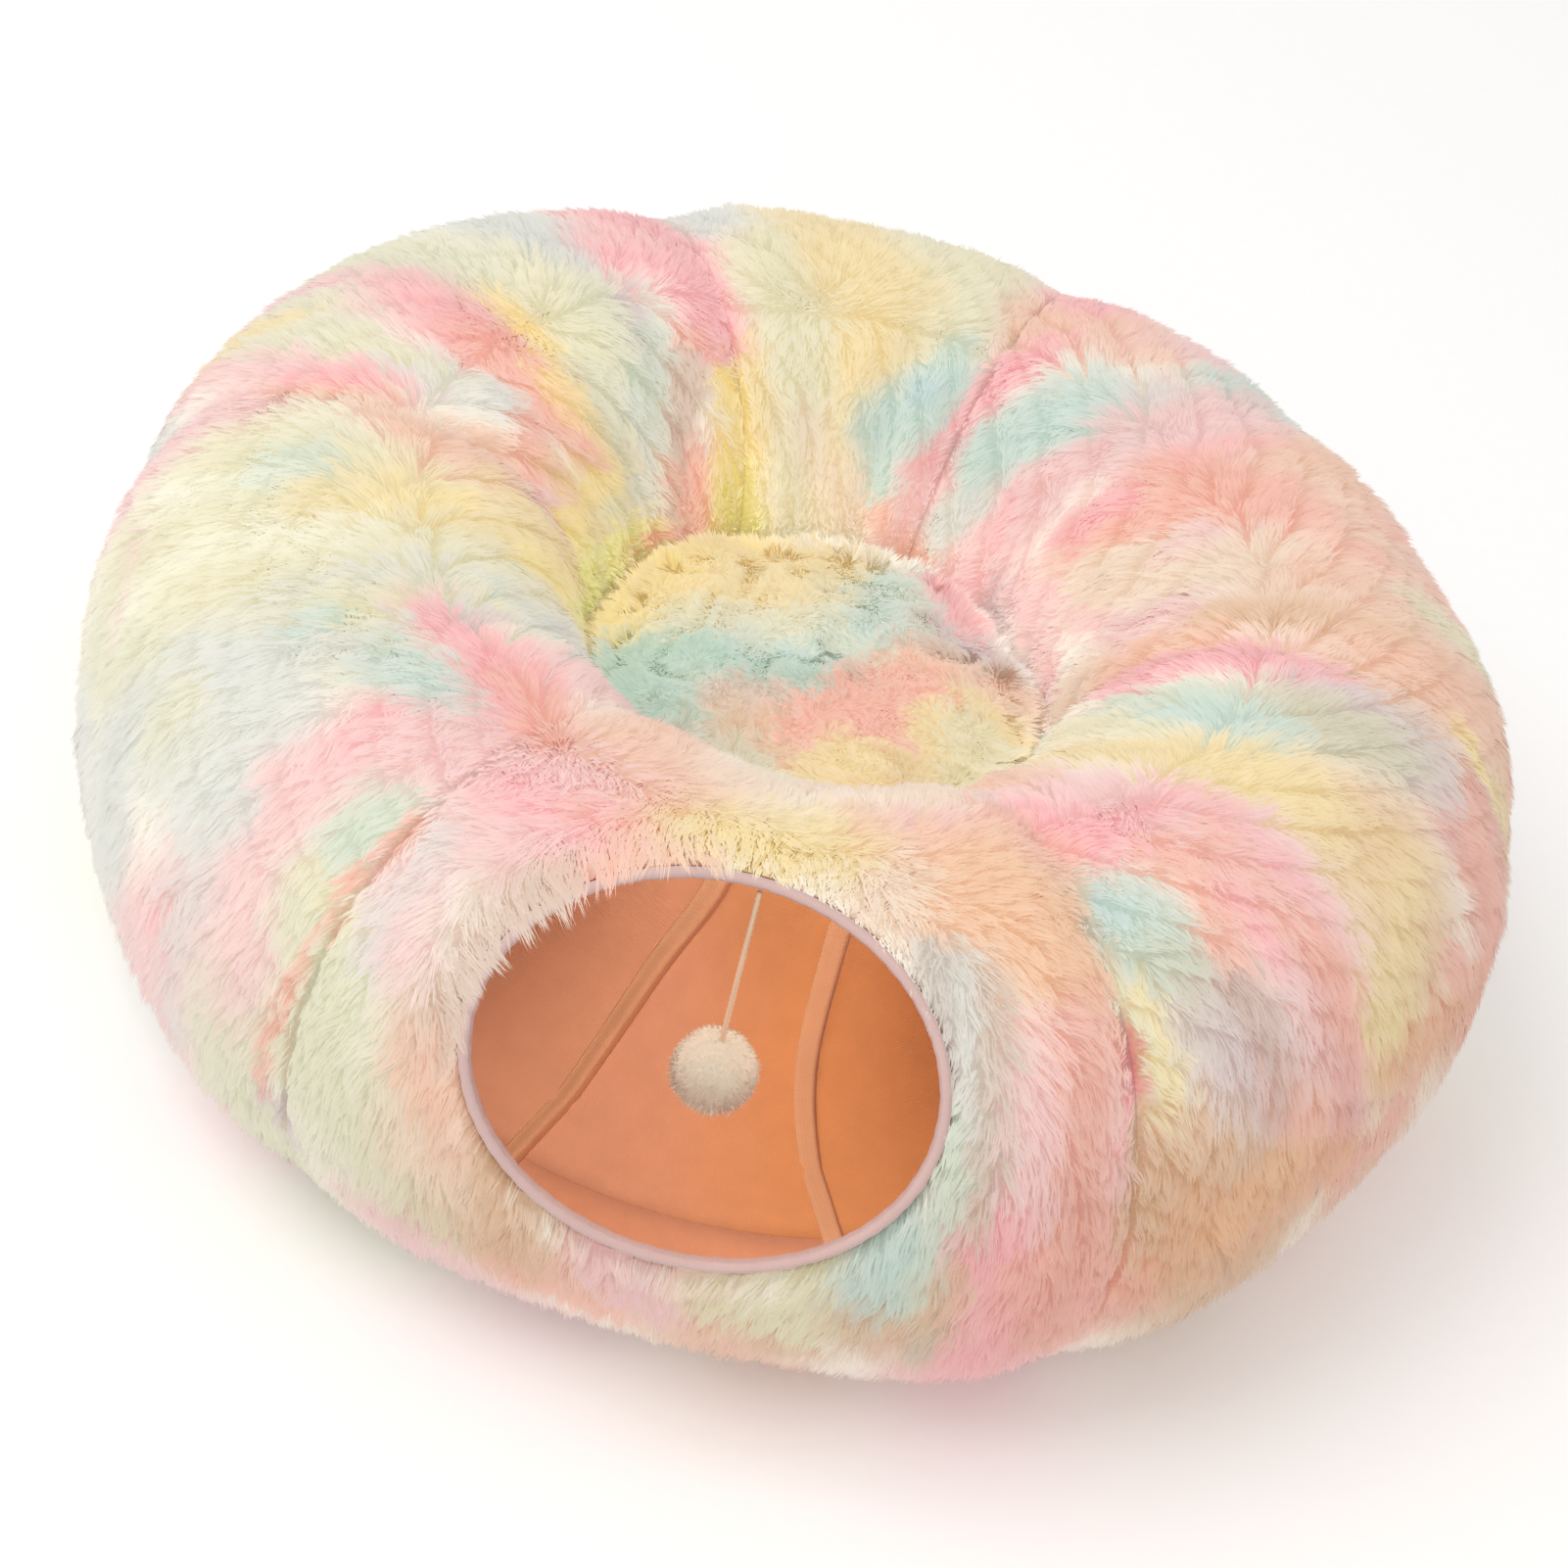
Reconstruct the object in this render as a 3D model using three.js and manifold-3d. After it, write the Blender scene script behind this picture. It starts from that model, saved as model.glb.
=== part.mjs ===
// Plush tunnel bed for a cat: a ring-shaped tunnel of six long-pile panels with a woven lining,
// an oval opening with a bound edge, a pompom on a string and a filled cushion in the middle.
// Millimetres, +Z up. The origin is on the floor at the middle of the ring, the opening faces -Y.

import * as THREE from 'three';
import { mergeVertices } from 'three/addons/utils/BufferGeometryUtils.js';
import Module from 'manifold-3d';

const wasm = await Module();
wasm.setup();

// The tunnel's cross-section, out to the tips of the pile
const RING_RADIUS = 259;
const TUBE_HALF_WIDTH = 141;
const TUBE_HALF_HEIGHT = 149;
const TUBE_POWER = 2.25;
const FLOOR_SINK = 8;
const TUBE_MIDDLE = TUBE_HALF_HEIGHT - FLOOR_SINK;

// Cloth thicknesses and the clearances between the sewn pieces
const COVER_THICKNESS = 15;
const LINING_THICKNESS = 1.5;
const LINING_CLEARANCE = 1.8;
const LINING_STEPS = 30;
const SEAM_GAP = 0.7;
const FIT_GAP = 0.4;

// Underneath, each strip is flat for so many degrees each way and its edges all but meet
const FLAT_HALF = 20;
const EDGE_HALF = 0.05;

// The opening: an oval cut square to a line that rises from the ring's middle plane
const OPENING_HALF_WIDTH = 114;
const OPENING_HALF_HEIGHT = 92;
const OPENING_RISE = THREE.MathUtils.degToRad(40);
const OPENING_SIDE = -4;
const OPENING_LIFT = -62;
const OPENING_STEPS = 48;
const CUT_FROM = 295;
const CUT_TO = 575;
const BINDING_WIDTH = 6;
const BINDING_SUNK = 2.5;
const BINDING_INSIDE = 3;
const BINDING_SQUARENESS = 0.5;

// The pompom, its string and the cushion
const POMPOM_RADIUS = 23;
const POMPOM_CORE = 18.5;
const POMPOM_FORWARD = 278;
const POMPOM_HEIGHT = 150;
const POMPOM_LOCKS = 60;
const POMPOM_LOCK_ROOT = 13;
const POMPOM_LOCK_RADIUS = 3.4;
const POMPOM_UNEVEN = 1.5;
const DIMPLE_DEPTH = 2;
const DIMPLE_CLEARANCE = 0.5;
const STRING_DIAMETER = 3;
const STRING_TOP = 270.4;
const STRING_STEPS = 14;
const CUSHION_GAP = 0.55;
const CUSHION_STEPS = 40;
const CUSHION_TOP_FROM = 185;
const CUSHION_TOP_TO = 200;
const CUSHION_RIM_FROM = 55;
const CUSHION_RIM_TO = 100;

// The cushion's profile below and above the span where the hole's wall shapes it
const CUSHION_FOOT = [
  { radius: 0, height: 0 },
  { radius: 88, height: 0 },
  { radius: 104, height: 6 },
  { radius: 112, height: 28 },
  { radius: 115, height: 62 },
];
const CUSHION_WAIST = [195, 180, 165];
const CUSHION_CROWN = [
  { radius: 113, height: 194 },
  { radius: 99, height: 203 },
  { radius: 76, height: 208 },
  { radius: 50, height: 210 },
  { radius: 24, height: 212 },
  { radius: 0, height: 212 },
];

// Soft waves in the cushion's top: height, how many round it and their turn for each millimetre across
const CUSHION_WAVES = [
  { height: 4, round: 5, across: 0, at: 'rim' },
  { height: 2.5, round: 9, across: 0.033, at: 'rim' },
  { height: 3, round: 2, across: 0.059, at: 'middle' },
];
const CUSHION_SAG = 3;

// How far the ring's outer side and its crest stand off the plain section, every 30 degrees
const BULGES = [
  { angle: 0, reach: -5, crest: -4 },
  { angle: 30, reach: 10, crest: 2 },
  { angle: 60, reach: -4, crest: 3 },
  { angle: 90, reach: 1, crest: 5 },
  { angle: 120, reach: -7, crest: -3 },
  { angle: 150, reach: 2, crest: -3 },
  { angle: 180, reach: -2, crest: -4 },
  { angle: 210, reach: -2, crest: -5 },
  { angle: 240, reach: 3, crest: 7 },
  { angle: 270, reach: -4, crest: 8 },
  { angle: 300, reach: -3, crest: 0 },
  { angle: 330, reach: 7, crest: -3 },
];
const BULGE_STEP = 360 / BULGES.length;

// The plush panels between their seams, anticlockwise from the front
const PANELS = [
  { name: 'panel_front', from: -31, to: 33, colour: 0xf6ddd6 },
  { name: 'panel_right', from: 33, to: 90, colour: 0xf3d2bd },
  { name: 'panel_back_right', from: 90, to: 165, colour: 0xf6c9bf },
  { name: 'panel_back', from: 165, to: 207, colour: 0xf6ecc0 },
  { name: 'panel_back_left', from: 207, to: 268, colour: 0xf3d6c8 },
  { name: 'panel_left', from: 268, to: 329, colour: 0xf2ecd2 },
];
const PANEL_STEP = 6;
const ROUND_STEPS = 24;
const ROUND_STEP = 360 / ROUND_STEPS;

// Folds that run up and over the tunnel: seams all round, gathers mostly on the hole's wall
const FOLDS = [
  { angle: -31, depth: 7, width: 4.5, from: -60, to: 235 },
  { angle: 33, depth: 8, width: 4.5, from: -60, to: 235 },
  { angle: 60, depth: 4, width: 6, from: 95, to: 200 },
  { angle: 90, depth: 8, width: 4.5, from: -60, to: 235 },
  { angle: 108, depth: 5, width: 5, from: 60, to: 205 },
  { angle: 122, depth: 4, width: 5, from: 85, to: 205 },
  { angle: 138, depth: 6, width: 5, from: 50, to: 205 },
  { angle: 152, depth: 5, width: 4.5, from: 95, to: 205 },
  { angle: 165, depth: 10, width: 5, from: -60, to: 235 },
  { angle: 178, depth: 6, width: 4.5, from: 105, to: 205 },
  { angle: 192, depth: 3, width: 5, from: 70, to: 200 },
  { angle: 207, depth: 10, width: 5, from: -60, to: 235 },
  { angle: 222, depth: 5, width: 5, from: 90, to: 205 },
  { angle: 238, depth: 6, width: 5, from: 70, to: 205 },
  { angle: 254, depth: 4, width: 5, from: 95, to: 205 },
  { angle: 268, depth: 7, width: 4.5, from: -60, to: 235 },
  { angle: 288, depth: 4, width: 6, from: 85, to: 200 },
  { angle: 307, depth: 5, width: 5, from: 100, to: 205 },
];
const FOLD_FADE = 25;
const LUMP_DEPTH = 2.5;
const FLOOR_FADE_LOW = -0.95;
const FLOOR_FADE_HIGH = -0.6;
const CALM_ACROSS = 30;
const CALM_ROUND = 60;
const CALM_MIDDLE = 38;

// The two ribs that hold the tunnel open beside the opening, under casings in the lining, by the
// angle round the ring that they pass at angles round the tunnel
const RIB_CASINGS = [
  {
    name: 'rib_casing_left',
    path: [
      { round: 90, angle: -6 },
      { round: 150, angle: -6.2 },
      { round: 165, angle: -6.9 },
      { round: 173, angle: -8 },
      { round: 181, angle: -9.8 },
      { round: 191, angle: -13.5 },
      { round: 201, angle: -16.7 },
      { round: 210, angle: -18.5 },
      { round: 228, angle: -20.4 },
      { round: 245, angle: -20.9 },
      { round: 285, angle: -20.6 },
    ],
  },
  {
    name: 'rib_casing_right',
    path: [
      { round: 90, angle: 21 },
      { round: 150, angle: 21 },
      { round: 175, angle: 20.4 },
      { round: 189, angle: 19.6 },
      { round: 198, angle: 19 },
      { round: 214, angle: 17.2 },
      { round: 222, angle: 16.7 },
      { round: 232, angle: 16.8 },
      { round: 248, angle: 17.7 },
      { round: 285, angle: 19.3 },
    ],
  },
];
const PATH_EASE = [-8, -4, 0, 4, 8];
const RIB_WIDTH = 12;
const RIB_HEIGHT = 3.6;
const RIB_EDGE = 0.8;
const RIB_CLEARANCE = 1;
const RIB_FROM = 90;
const RIB_TO = 285;

// The locks of pile that stand over the opening's bound edge, by their place round the oval
const LOCK_LENGTHS = [
  { angle: 0, length: 21 },
  { angle: 60, length: 20 },
  { angle: 100, length: 23 },
  { angle: 128, length: 33 },
  { angle: 160, length: 30 },
  { angle: 200, length: 20 },
  { angle: 270, length: 19 },
  { angle: 360, length: 21 },
];
const LOCK_COUNT = 64;
const LOCK_RADIUS = 3.2;
const LOCK_ROOT_OUT = 14;
const LOCK_ROOT_SUNK = 4;
const LOCK_RISE = 0.45;
const LOCK_UNEVEN = 0.16;
const LOCK_BEAT = 5.3;

const radians = THREE.MathUtils.degToRad;
const blend = THREE.MathUtils.lerp;
const ease = THREE.MathUtils.smoothstep;

// A power that keeps the sign, for the rounded-square section
function signedPower(value, power) {
  return Math.sign(value) * Math.abs(value) ** power;
}

// A column of the bulge table at any angle, with soft steps between its rows
function bulgeAt(column, degrees) {
  const place = (((degrees % 360) + 360) % 360) / BULGE_STEP;
  const row = Math.floor(place) % BULGES.length;
  const next = (row + 1) % BULGES.length;
  return blend(BULGES[row][column], BULGES[next][column], ease(place - Math.floor(place), 0, 1));
}

// The shortest turn between two angles, in degrees
function turnBetween(first, second) {
  const turn = (((first - second) % 360) + 360) % 360;
  return Math.min(turn, 360 - turn);
}

// How deep the folds and lumps of the plush draw its outer face in
function drawnIn(degrees, round) {
  let depth = 0;
  for (const fold of FOLDS) {
    const near = Math.exp(-((turnBetween(degrees, fold.angle) / fold.width) ** 2));
    const start = ease(round, fold.from - FOLD_FADE, fold.from);
    const end = 1 - ease(round, fold.to, fold.to + FOLD_FADE);
    depth = Math.max(depth, fold.depth * near * start * end);
  }
  const along = radians(degrees);
  const about = radians(round);
  const lump = Math.sin(8 * along + 2 * Math.sin(2 * about)) * Math.sin(5 * about + 3 * along);
  const offFloor = ease(Math.sin(about), FLOOR_FADE_LOW, FLOOR_FADE_HIGH);
  const beside = turnBetween(degrees, 0) / CALM_ACROSS;
  const fromOpening = Math.hypot(beside, (round - CALM_MIDDLE) / CALM_ROUND);
  const lumpy = LUMP_DEPTH * ease(fromOpening, 0.7, 1);
  return (depth + lumpy * (0.5 + 0.5 * lump)) * offFloor;
}

// A point of the tunnel wall: the angle round the ring, the angle round the tube, the depth in
function tubePoint(degrees, round, depth) {
  const about = radians(round);
  const across = Math.cos(about);
  const upward = Math.sin(about);
  const reach = bulgeAt('reach', degrees) * Math.max(0, across) ** 2;
  const crest = bulgeAt('crest', degrees) * Math.max(0, upward) ** 2;
  const offset = reach + crest - depth;
  const power = 2 / TUBE_POWER;
  const radius = RING_RADIUS + (TUBE_HALF_WIDTH + offset) * signedPower(across, power);
  const height = TUBE_MIDDLE + (TUBE_HALF_HEIGHT + offset) * signedPower(upward, power);
  const along = radians(degrees);
  return new THREE.Vector3(radius * Math.sin(along), -radius * Math.cos(along), Math.max(height, depth));
}

// True where a point lies inside the tube's layer at a depth
function insideLayer(point, depth) {
  const degrees = THREE.MathUtils.radToDeg(Math.atan2(point.x, -point.y));
  const outward = Math.hypot(point.x, point.y) - RING_RADIUS;
  const upward = point.z - TUBE_MIDDLE;
  const about = Math.atan2(upward / TUBE_HALF_HEIGHT, outward / TUBE_HALF_WIDTH);
  const reach = bulgeAt('reach', degrees) * Math.max(0, Math.cos(about)) ** 2;
  const crest = bulgeAt('crest', degrees) * Math.max(0, Math.sin(about)) ** 2;
  const offset = reach + crest - depth;
  const wide = Math.abs(outward / (TUBE_HALF_WIDTH + offset)) ** TUBE_POWER;
  const tall = Math.abs(upward / (TUBE_HALF_HEIGHT + offset)) ** TUBE_POWER;
  return wide + tall < 1;
}

// Moves every vertex of a geometry and leaves one closed skin of shared vertices
function reshape(geometry, move) {
  geometry.deleteAttribute('normal');
  geometry.deleteAttribute('uv');
  const welded = mergeVertices(geometry, 1e-4);
  const position = welded.attributes.position;
  const point = new THREE.Vector3();
  for (let index = 0; index < position.count; index += 1) {
    point.fromBufferAttribute(position, index);
    const moved = move(point);
    position.setXYZ(index, moved.x, moved.y, moved.z);
  }
  return welded;
}

function toSolid(geometry) {
  const vertProperties = new Float32Array(geometry.attributes.position.array);
  const triVerts = new Uint32Array(geometry.index.array);
  return new wasm.Manifold(new wasm.Mesh({ numProp: 3, vertProperties, triVerts }));
}

function toGeometry(solid) {
  const mesh = solid.getMesh();
  const geometry = new THREE.BufferGeometry();
  geometry.setAttribute('position', new THREE.BufferAttribute(mesh.vertProperties, 3));
  geometry.setIndex(new THREE.BufferAttribute(mesh.triVerts, 1));
  return geometry;
}

function cloth(name, geometry, colour, roughness = 0.95) {
  const material = new THREE.MeshStandardMaterial({ color: colour, roughness, metalness: 0 });
  geometry.computeVertexNormals();
  const mesh = new THREE.Mesh(geometry, material);
  mesh.name = name;
  return mesh;
}

// The opening's own directions: sideways, up its face and out along its line
const openingAcross = new THREE.Vector3(1, 0, 0);
const openingUp = new THREE.Vector3(0, Math.sin(OPENING_RISE), Math.cos(OPENING_RISE));
const openingOut = new THREE.Vector3(0, -Math.cos(OPENING_RISE), Math.sin(OPENING_RISE));

// A point beside the opening's line, out along it by a distance from the ring's middle
function openingPoint(across, up, out) {
  return new THREE.Vector3()
    .addScaledVector(openingAcross, OPENING_SIDE + across)
    .addScaledVector(openingUp, OPENING_LIFT + up)
    .addScaledVector(openingOut, out);
}

// How far out along the opening's line a layer of the front wall lies
function wallDistance(across, up, depth) {
  let inner = RING_RADIUS + TUBE_HALF_WIDTH / 3;
  let outer = RING_RADIUS + 2 * TUBE_HALF_WIDTH;
  while (outer - inner > 0.01) {
    const middle = (inner + outer) / 2;
    if (insideLayer(openingPoint(across, up, middle), depth)) {
      inner = middle;
    } else {
      outer = middle;
    }
  }
  return inner;
}

// The oval bar that cuts the opening through the front wall
function openingCutter() {
  const bar = new THREE.CylinderGeometry(1, 1, 1, OPENING_STEPS, 1);
  const halfWidth = OPENING_HALF_WIDTH + BINDING_WIDTH + FIT_GAP;
  const halfHeight = OPENING_HALF_HEIGHT + BINDING_WIDTH + FIT_GAP;
  return toSolid(reshape(bar, (p) => {
    const out = blend(CUT_FROM, CUT_TO, p.y + 0.5);
    return openingPoint(p.x * halfWidth, -p.z * halfHeight, out);
  }));
}

// A strip of wall between two seams, wrapped round the tube to meet itself underneath
function wallStrip(from, to, steps, outerDepth, innerDepth, outerFace) {
  const slab = new THREE.BoxGeometry(1, 1, 1, steps, ROUND_STEPS, 1);
  const seamHalf = THREE.MathUtils.radToDeg(SEAM_GAP / 2 / RING_RADIUS);
  return reshape(slab, (p) => {
    const degrees = blend(from + seamHalf, to - seamHalf, p.x + 0.5);
    const round = blend(-90 + EDGE_HALF, 270 - EDGE_HALF, p.y + 0.5);
    if (p.z < 0) {
      return tubePoint(degrees, round, innerDepth);
    }
    const point = tubePoint(degrees, round, outerDepth + outerFace(degrees, round));
    if (turnBetween(round, 270) < FLAT_HALF) {
      point.z = outerDepth;
    }
    return point;
  });
}

// One lock of pile: a three-sided point that leans over the opening's edge
function rimLock(turn, length) {
  const across = Math.cos(turn) * (OPENING_HALF_WIDTH + LOCK_ROOT_OUT + BINDING_WIDTH / 2);
  const up = Math.sin(turn) * (OPENING_HALF_HEIGHT + LOCK_ROOT_OUT + BINDING_WIDTH / 2);
  const root = openingPoint(across, up, wallDistance(across, up, LOCK_ROOT_SUNK));
  const inAcross = across * (1 - length / OPENING_HALF_WIDTH);
  const inUp = up * (1 - length / OPENING_HALF_HEIGHT);
  const tip = openingPoint(inAcross, inUp, wallDistance(inAcross, inUp, LOCK_ROOT_SUNK));
  const lean = tip.sub(root).normalize().addScaledVector(openingOut, LOCK_RISE).normalize();
  const lock = new THREE.ConeGeometry(LOCK_RADIUS, length, 3, 1);
  lock.translate(0, length / 2, 0);
  lock.applyQuaternion(new THREE.Quaternion().setFromUnitVectors(new THREE.Vector3(0, 1, 0), lean));
  lock.translate(root.x, root.y, root.z);
  return toSolid(reshape(lock, (p) => p));
}

function lockLength(turn) {
  const degrees = THREE.MathUtils.radToDeg(turn);
  const next = LOCK_LENGTHS.findIndex((row) => row.angle > degrees);
  const before = LOCK_LENGTHS[next - 1];
  const after = LOCK_LENGTHS[next];
  const share = (degrees - before.angle) / (after.angle - before.angle);
  return blend(before.length, after.length, share);
}

function plushPanel({ name, from, to, colour }) {
  const steps = Math.round((to - from) / PANEL_STEP);
  const strip = wallStrip(from, to, steps, 0, COVER_THICKNESS, drawnIn);
  if (name !== 'panel_front') {
    return cloth(name, strip, colour);
  }
  let solid = toSolid(strip).subtract(openingCutter());
  for (let index = 0; index < LOCK_COUNT; index += 1) {
    const turn = (2 * Math.PI * (index + 0.5)) / LOCK_COUNT;
    const uneven = 1 + LOCK_UNEVEN * Math.sin(LOCK_BEAT * index);
    solid = solid.add(rimLock(turn, lockLength(turn) * uneven));
  }
  return cloth(name, toGeometry(solid), colour);
}

function tunnelLining() {
  const outerDepth = COVER_THICKNESS + LINING_CLEARANCE;
  const strip = wallStrip(180, 540, LINING_STEPS, outerDepth, outerDepth + LINING_THICKNESS, () => 0);
  return cloth('lining', toGeometry(toSolid(strip).subtract(openingCutter())), 0xdd9260, 0.8);
}

// The angle round the ring at which a path passes an angle round the tunnel, its corners eased
function angleAlong(path, round) {
  const angles = PATH_EASE.map((step) => {
    const place = THREE.MathUtils.clamp(round + step, path[0].round, path.at(-1).round);
    const next = Math.max(1, path.findIndex((row) => row.round >= place));
    const { round: from, angle: first } = path[next - 1];
    const { round: to, angle: last } = path[next];
    return THREE.MathUtils.mapLinear(place, from, to, first, last);
  });
  return angles.reduce((sum, angle) => sum + angle, 0) / angles.length;
}

// A shallow ridge across the lining, thin at its sewn edges and full over the rib
function ribCasing({ name, path }) {
  const slab = new THREE.BoxGeometry(1, 1, 1, 4, (RIB_TO - RIB_FROM) / ROUND_STEP, 1);
  const base = COVER_THICKNESS + LINING_CLEARANCE + LINING_THICKNESS + RIB_CLEARANCE;
  const strip = reshape(slab, (p) => {
    const round = blend(RIB_FROM, RIB_TO, p.y + 0.5);
    const radius = RING_RADIUS + TUBE_HALF_WIDTH * Math.cos(radians(round));
    const degrees = angleAlong(path, round) + THREE.MathUtils.radToDeg((p.x * RIB_WIDTH) / radius);
    const full = RIB_EDGE + (RIB_HEIGHT - RIB_EDGE) * (1 - (2 * p.x) ** 2);
    return tubePoint(degrees, round, p.z < 0 ? base + full : base);
  });
  return cloth(name, strip, 0xb87e4e, 0.8);
}

// The bound edge: a closed band that wraps the cut edges of the plush and the lining
function openingBinding() {
  const ring = new THREE.TorusGeometry(2, 1, 8, OPENING_STEPS);
  const innerDepth = COVER_THICKNESS + LINING_CLEARANCE + LINING_THICKNESS + BINDING_INSIDE;
  const middleWidth = OPENING_HALF_WIDTH + BINDING_WIDTH / 2;
  const middleHeight = OPENING_HALF_HEIGHT + BINDING_WIDTH / 2;
  const band = reshape(ring, (p) => {
    const turn = Math.atan2(p.y, p.x);
    const section = Math.hypot(p.x, p.y) - 2;
    const side = (signedPower(section, BINDING_SQUARENESS) * BINDING_WIDTH) / 2;
    const outer = wallDistance(middleWidth * Math.cos(turn), middleHeight * Math.sin(turn), BINDING_SUNK);
    const inner = wallDistance(middleWidth * Math.cos(turn), middleHeight * Math.sin(turn), innerDepth);
    const share = (signedPower(p.z, BINDING_SQUARENESS) + 1) / 2;
    const across = (middleWidth + side) * Math.cos(turn);
    const up = (middleHeight + side) * Math.sin(turn);
    return openingPoint(across, up, blend(inner, outer, share));
  });
  return cloth('opening_binding', band, 0xd9d4e2, 0.85);
}

// The tuft: a round core with locks all over and a dimple where the string goes in
function pompom() {
  const core = new THREE.SphereGeometry(POMPOM_CORE, 14, 10);
  let solid = toSolid(reshape(core, (p) => p));
  const up = new THREE.Vector3(0, 1, 0);
  for (let index = 0; index < POMPOM_LOCKS; index += 1) {
    const height = 1 - (2 * index + 1) / POMPOM_LOCKS;
    const turn = index * Math.PI * (3 - Math.sqrt(5));
    const level = Math.sqrt(1 - height * height);
    const way = new THREE.Vector3(level * Math.cos(turn), level * Math.sin(turn), height);
    const reach = POMPOM_RADIUS - POMPOM_UNEVEN * Math.abs(Math.sin(LOCK_BEAT * index));
    const lock = new THREE.ConeGeometry(POMPOM_LOCK_RADIUS, reach - POMPOM_LOCK_ROOT, 3, 1);
    lock.translate(0, (reach + POMPOM_LOCK_ROOT) / 2, 0);
    lock.applyQuaternion(new THREE.Quaternion().setFromUnitVectors(up, way));
    solid = solid.add(toSolid(reshape(lock, (p) => p)));
  }
  const dimpleRadius = STRING_DIAMETER / 2 + DIMPLE_CLEARANCE;
  const dimple = new THREE.CylinderGeometry(dimpleRadius, dimpleRadius, POMPOM_RADIUS, 10);
  dimple.rotateX(Math.PI / 2);
  dimple.translate(0, 0, POMPOM_CORE - DIMPLE_DEPTH + POMPOM_RADIUS / 2);
  solid = solid.subtract(toSolid(reshape(dimple, (p) => p)));
  const tuft = cloth('pompom', toGeometry(solid), 0xf1ead9);
  tuft.position.set(0, -POMPOM_FORWARD, POMPOM_HEIGHT);
  return tuft;
}

function pompomString() {
  const low = POMPOM_HEIGHT + POMPOM_CORE - DIMPLE_DEPTH + FIT_GAP;
  const route = new THREE.LineCurve3(
    new THREE.Vector3(0, -POMPOM_FORWARD, STRING_TOP),
    new THREE.Vector3(0, -POMPOM_FORWARD, low),
  );
  const round = new THREE.Shape();
  round.absarc(0, 0, STRING_DIAMETER / 2, 0, 2 * Math.PI, false);
  const options = { steps: STRING_STEPS, curveSegments: 4, bevelEnabled: false, extrudePath: route };
  const tube = reshape(new THREE.ExtrudeGeometry(round, options), (p) => p);
  return cloth('pompom_string', tube, 0xe9d5b4, 0.9);
}

// How far the waves lift or sink the cushion's top at a place on it
function cushionWave(outward, turn) {
  const rim = ease(outward, CUSHION_RIM_FROM, CUSHION_RIM_TO);
  let lift = -CUSHION_SAG * (1 + rim);
  for (const wave of CUSHION_WAVES) {
    const share = wave.at === 'rim' ? rim : 1 - rim;
    lift += wave.height * share * Math.sin(wave.round * turn + wave.across * outward);
  }
  return lift;
}

// The filled cushion: it stands on the floor, swells to the hole's wall and crowns above its waist
function cushion() {
  const wall = CUSHION_WAIST.map((round) => tubePoint(0, round, -CUSHION_GAP));
  const profile = [
    ...CUSHION_FOOT.map((row) => new THREE.Vector2(row.radius, row.height)),
    ...wall.map((p) => new THREE.Vector2(-p.y, p.z)),
    ...CUSHION_CROWN.map((row) => new THREE.Vector2(row.radius, row.height)),
  ];
  const pad = reshape(new THREE.LatheGeometry(profile, CUSHION_STEPS), (p) => {
    const onTop = ease(p.y, CUSHION_TOP_FROM, CUSHION_TOP_TO);
    const lift = onTop * cushionWave(Math.hypot(p.x, p.z), Math.atan2(p.x, p.z));
    return new THREE.Vector3(p.x, -p.z, p.y + lift);
  });
  return cloth('cushion', pad, 0xf0e2c0);
}

const bed = new THREE.Group();
bed.add(...PANELS.map(plushPanel));
bed.add(tunnelLining());
bed.add(...RIB_CASINGS.map(ribCasing));
bed.add(openingBinding());
bed.add(pompomString());
bed.add(pompom());
bed.add(cushion());

export default bed;
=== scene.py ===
"""Plush tunnel bed for a cat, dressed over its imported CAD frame.

Metres, +Z up, the opening towards -Y. A place on the ring is given by two angles in degrees: the angle
round the ring from its front towards +X, and the angle round the tunnel from its outer side (0) over
the crest (90) to the hole's wall (180) and the floor (270 or -90).
"""

import math

import bmesh
import bpy
import numpy as np
from bpy.props import FloatProperty, FloatVectorProperty, IntProperty, PointerProperty
from bpy.types import Operator, Panel, PropertyGroup
from mathutils import Matrix, Vector
from mathutils.kdtree import KDTree


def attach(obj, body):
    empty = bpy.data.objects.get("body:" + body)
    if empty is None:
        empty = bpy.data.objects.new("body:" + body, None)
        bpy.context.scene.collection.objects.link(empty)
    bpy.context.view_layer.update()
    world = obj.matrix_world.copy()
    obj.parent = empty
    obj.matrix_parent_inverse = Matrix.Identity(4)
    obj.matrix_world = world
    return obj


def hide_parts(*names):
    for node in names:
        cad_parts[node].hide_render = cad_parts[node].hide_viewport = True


bl_info = {
    "name": "Cat tunnel bed",
    "version": (1, 0, 0),
    "blender": (4, 5, 0),
    "location": "3D View > Sidebar > Tunnel Bed",
    "description": "Builds the plush, lining, binding, cushion and tuft of a ring-shaped tunnel bed",
    "category": "Object",
}

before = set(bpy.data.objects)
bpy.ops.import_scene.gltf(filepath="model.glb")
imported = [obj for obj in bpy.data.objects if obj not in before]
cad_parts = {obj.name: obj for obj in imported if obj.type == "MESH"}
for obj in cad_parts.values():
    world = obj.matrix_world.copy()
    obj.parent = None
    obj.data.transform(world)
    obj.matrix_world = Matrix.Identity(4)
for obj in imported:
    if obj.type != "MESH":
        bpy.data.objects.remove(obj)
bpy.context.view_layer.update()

# The tunnel's cross-section, out to the tips of the pile
RING_RADIUS = 0.259
TUBE_HALF_WIDTH = 0.141
TUBE_HALF_HEIGHT = 0.149
TUBE_POWER = 2.25
TUBE_MIDDLE = 0.141

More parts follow.
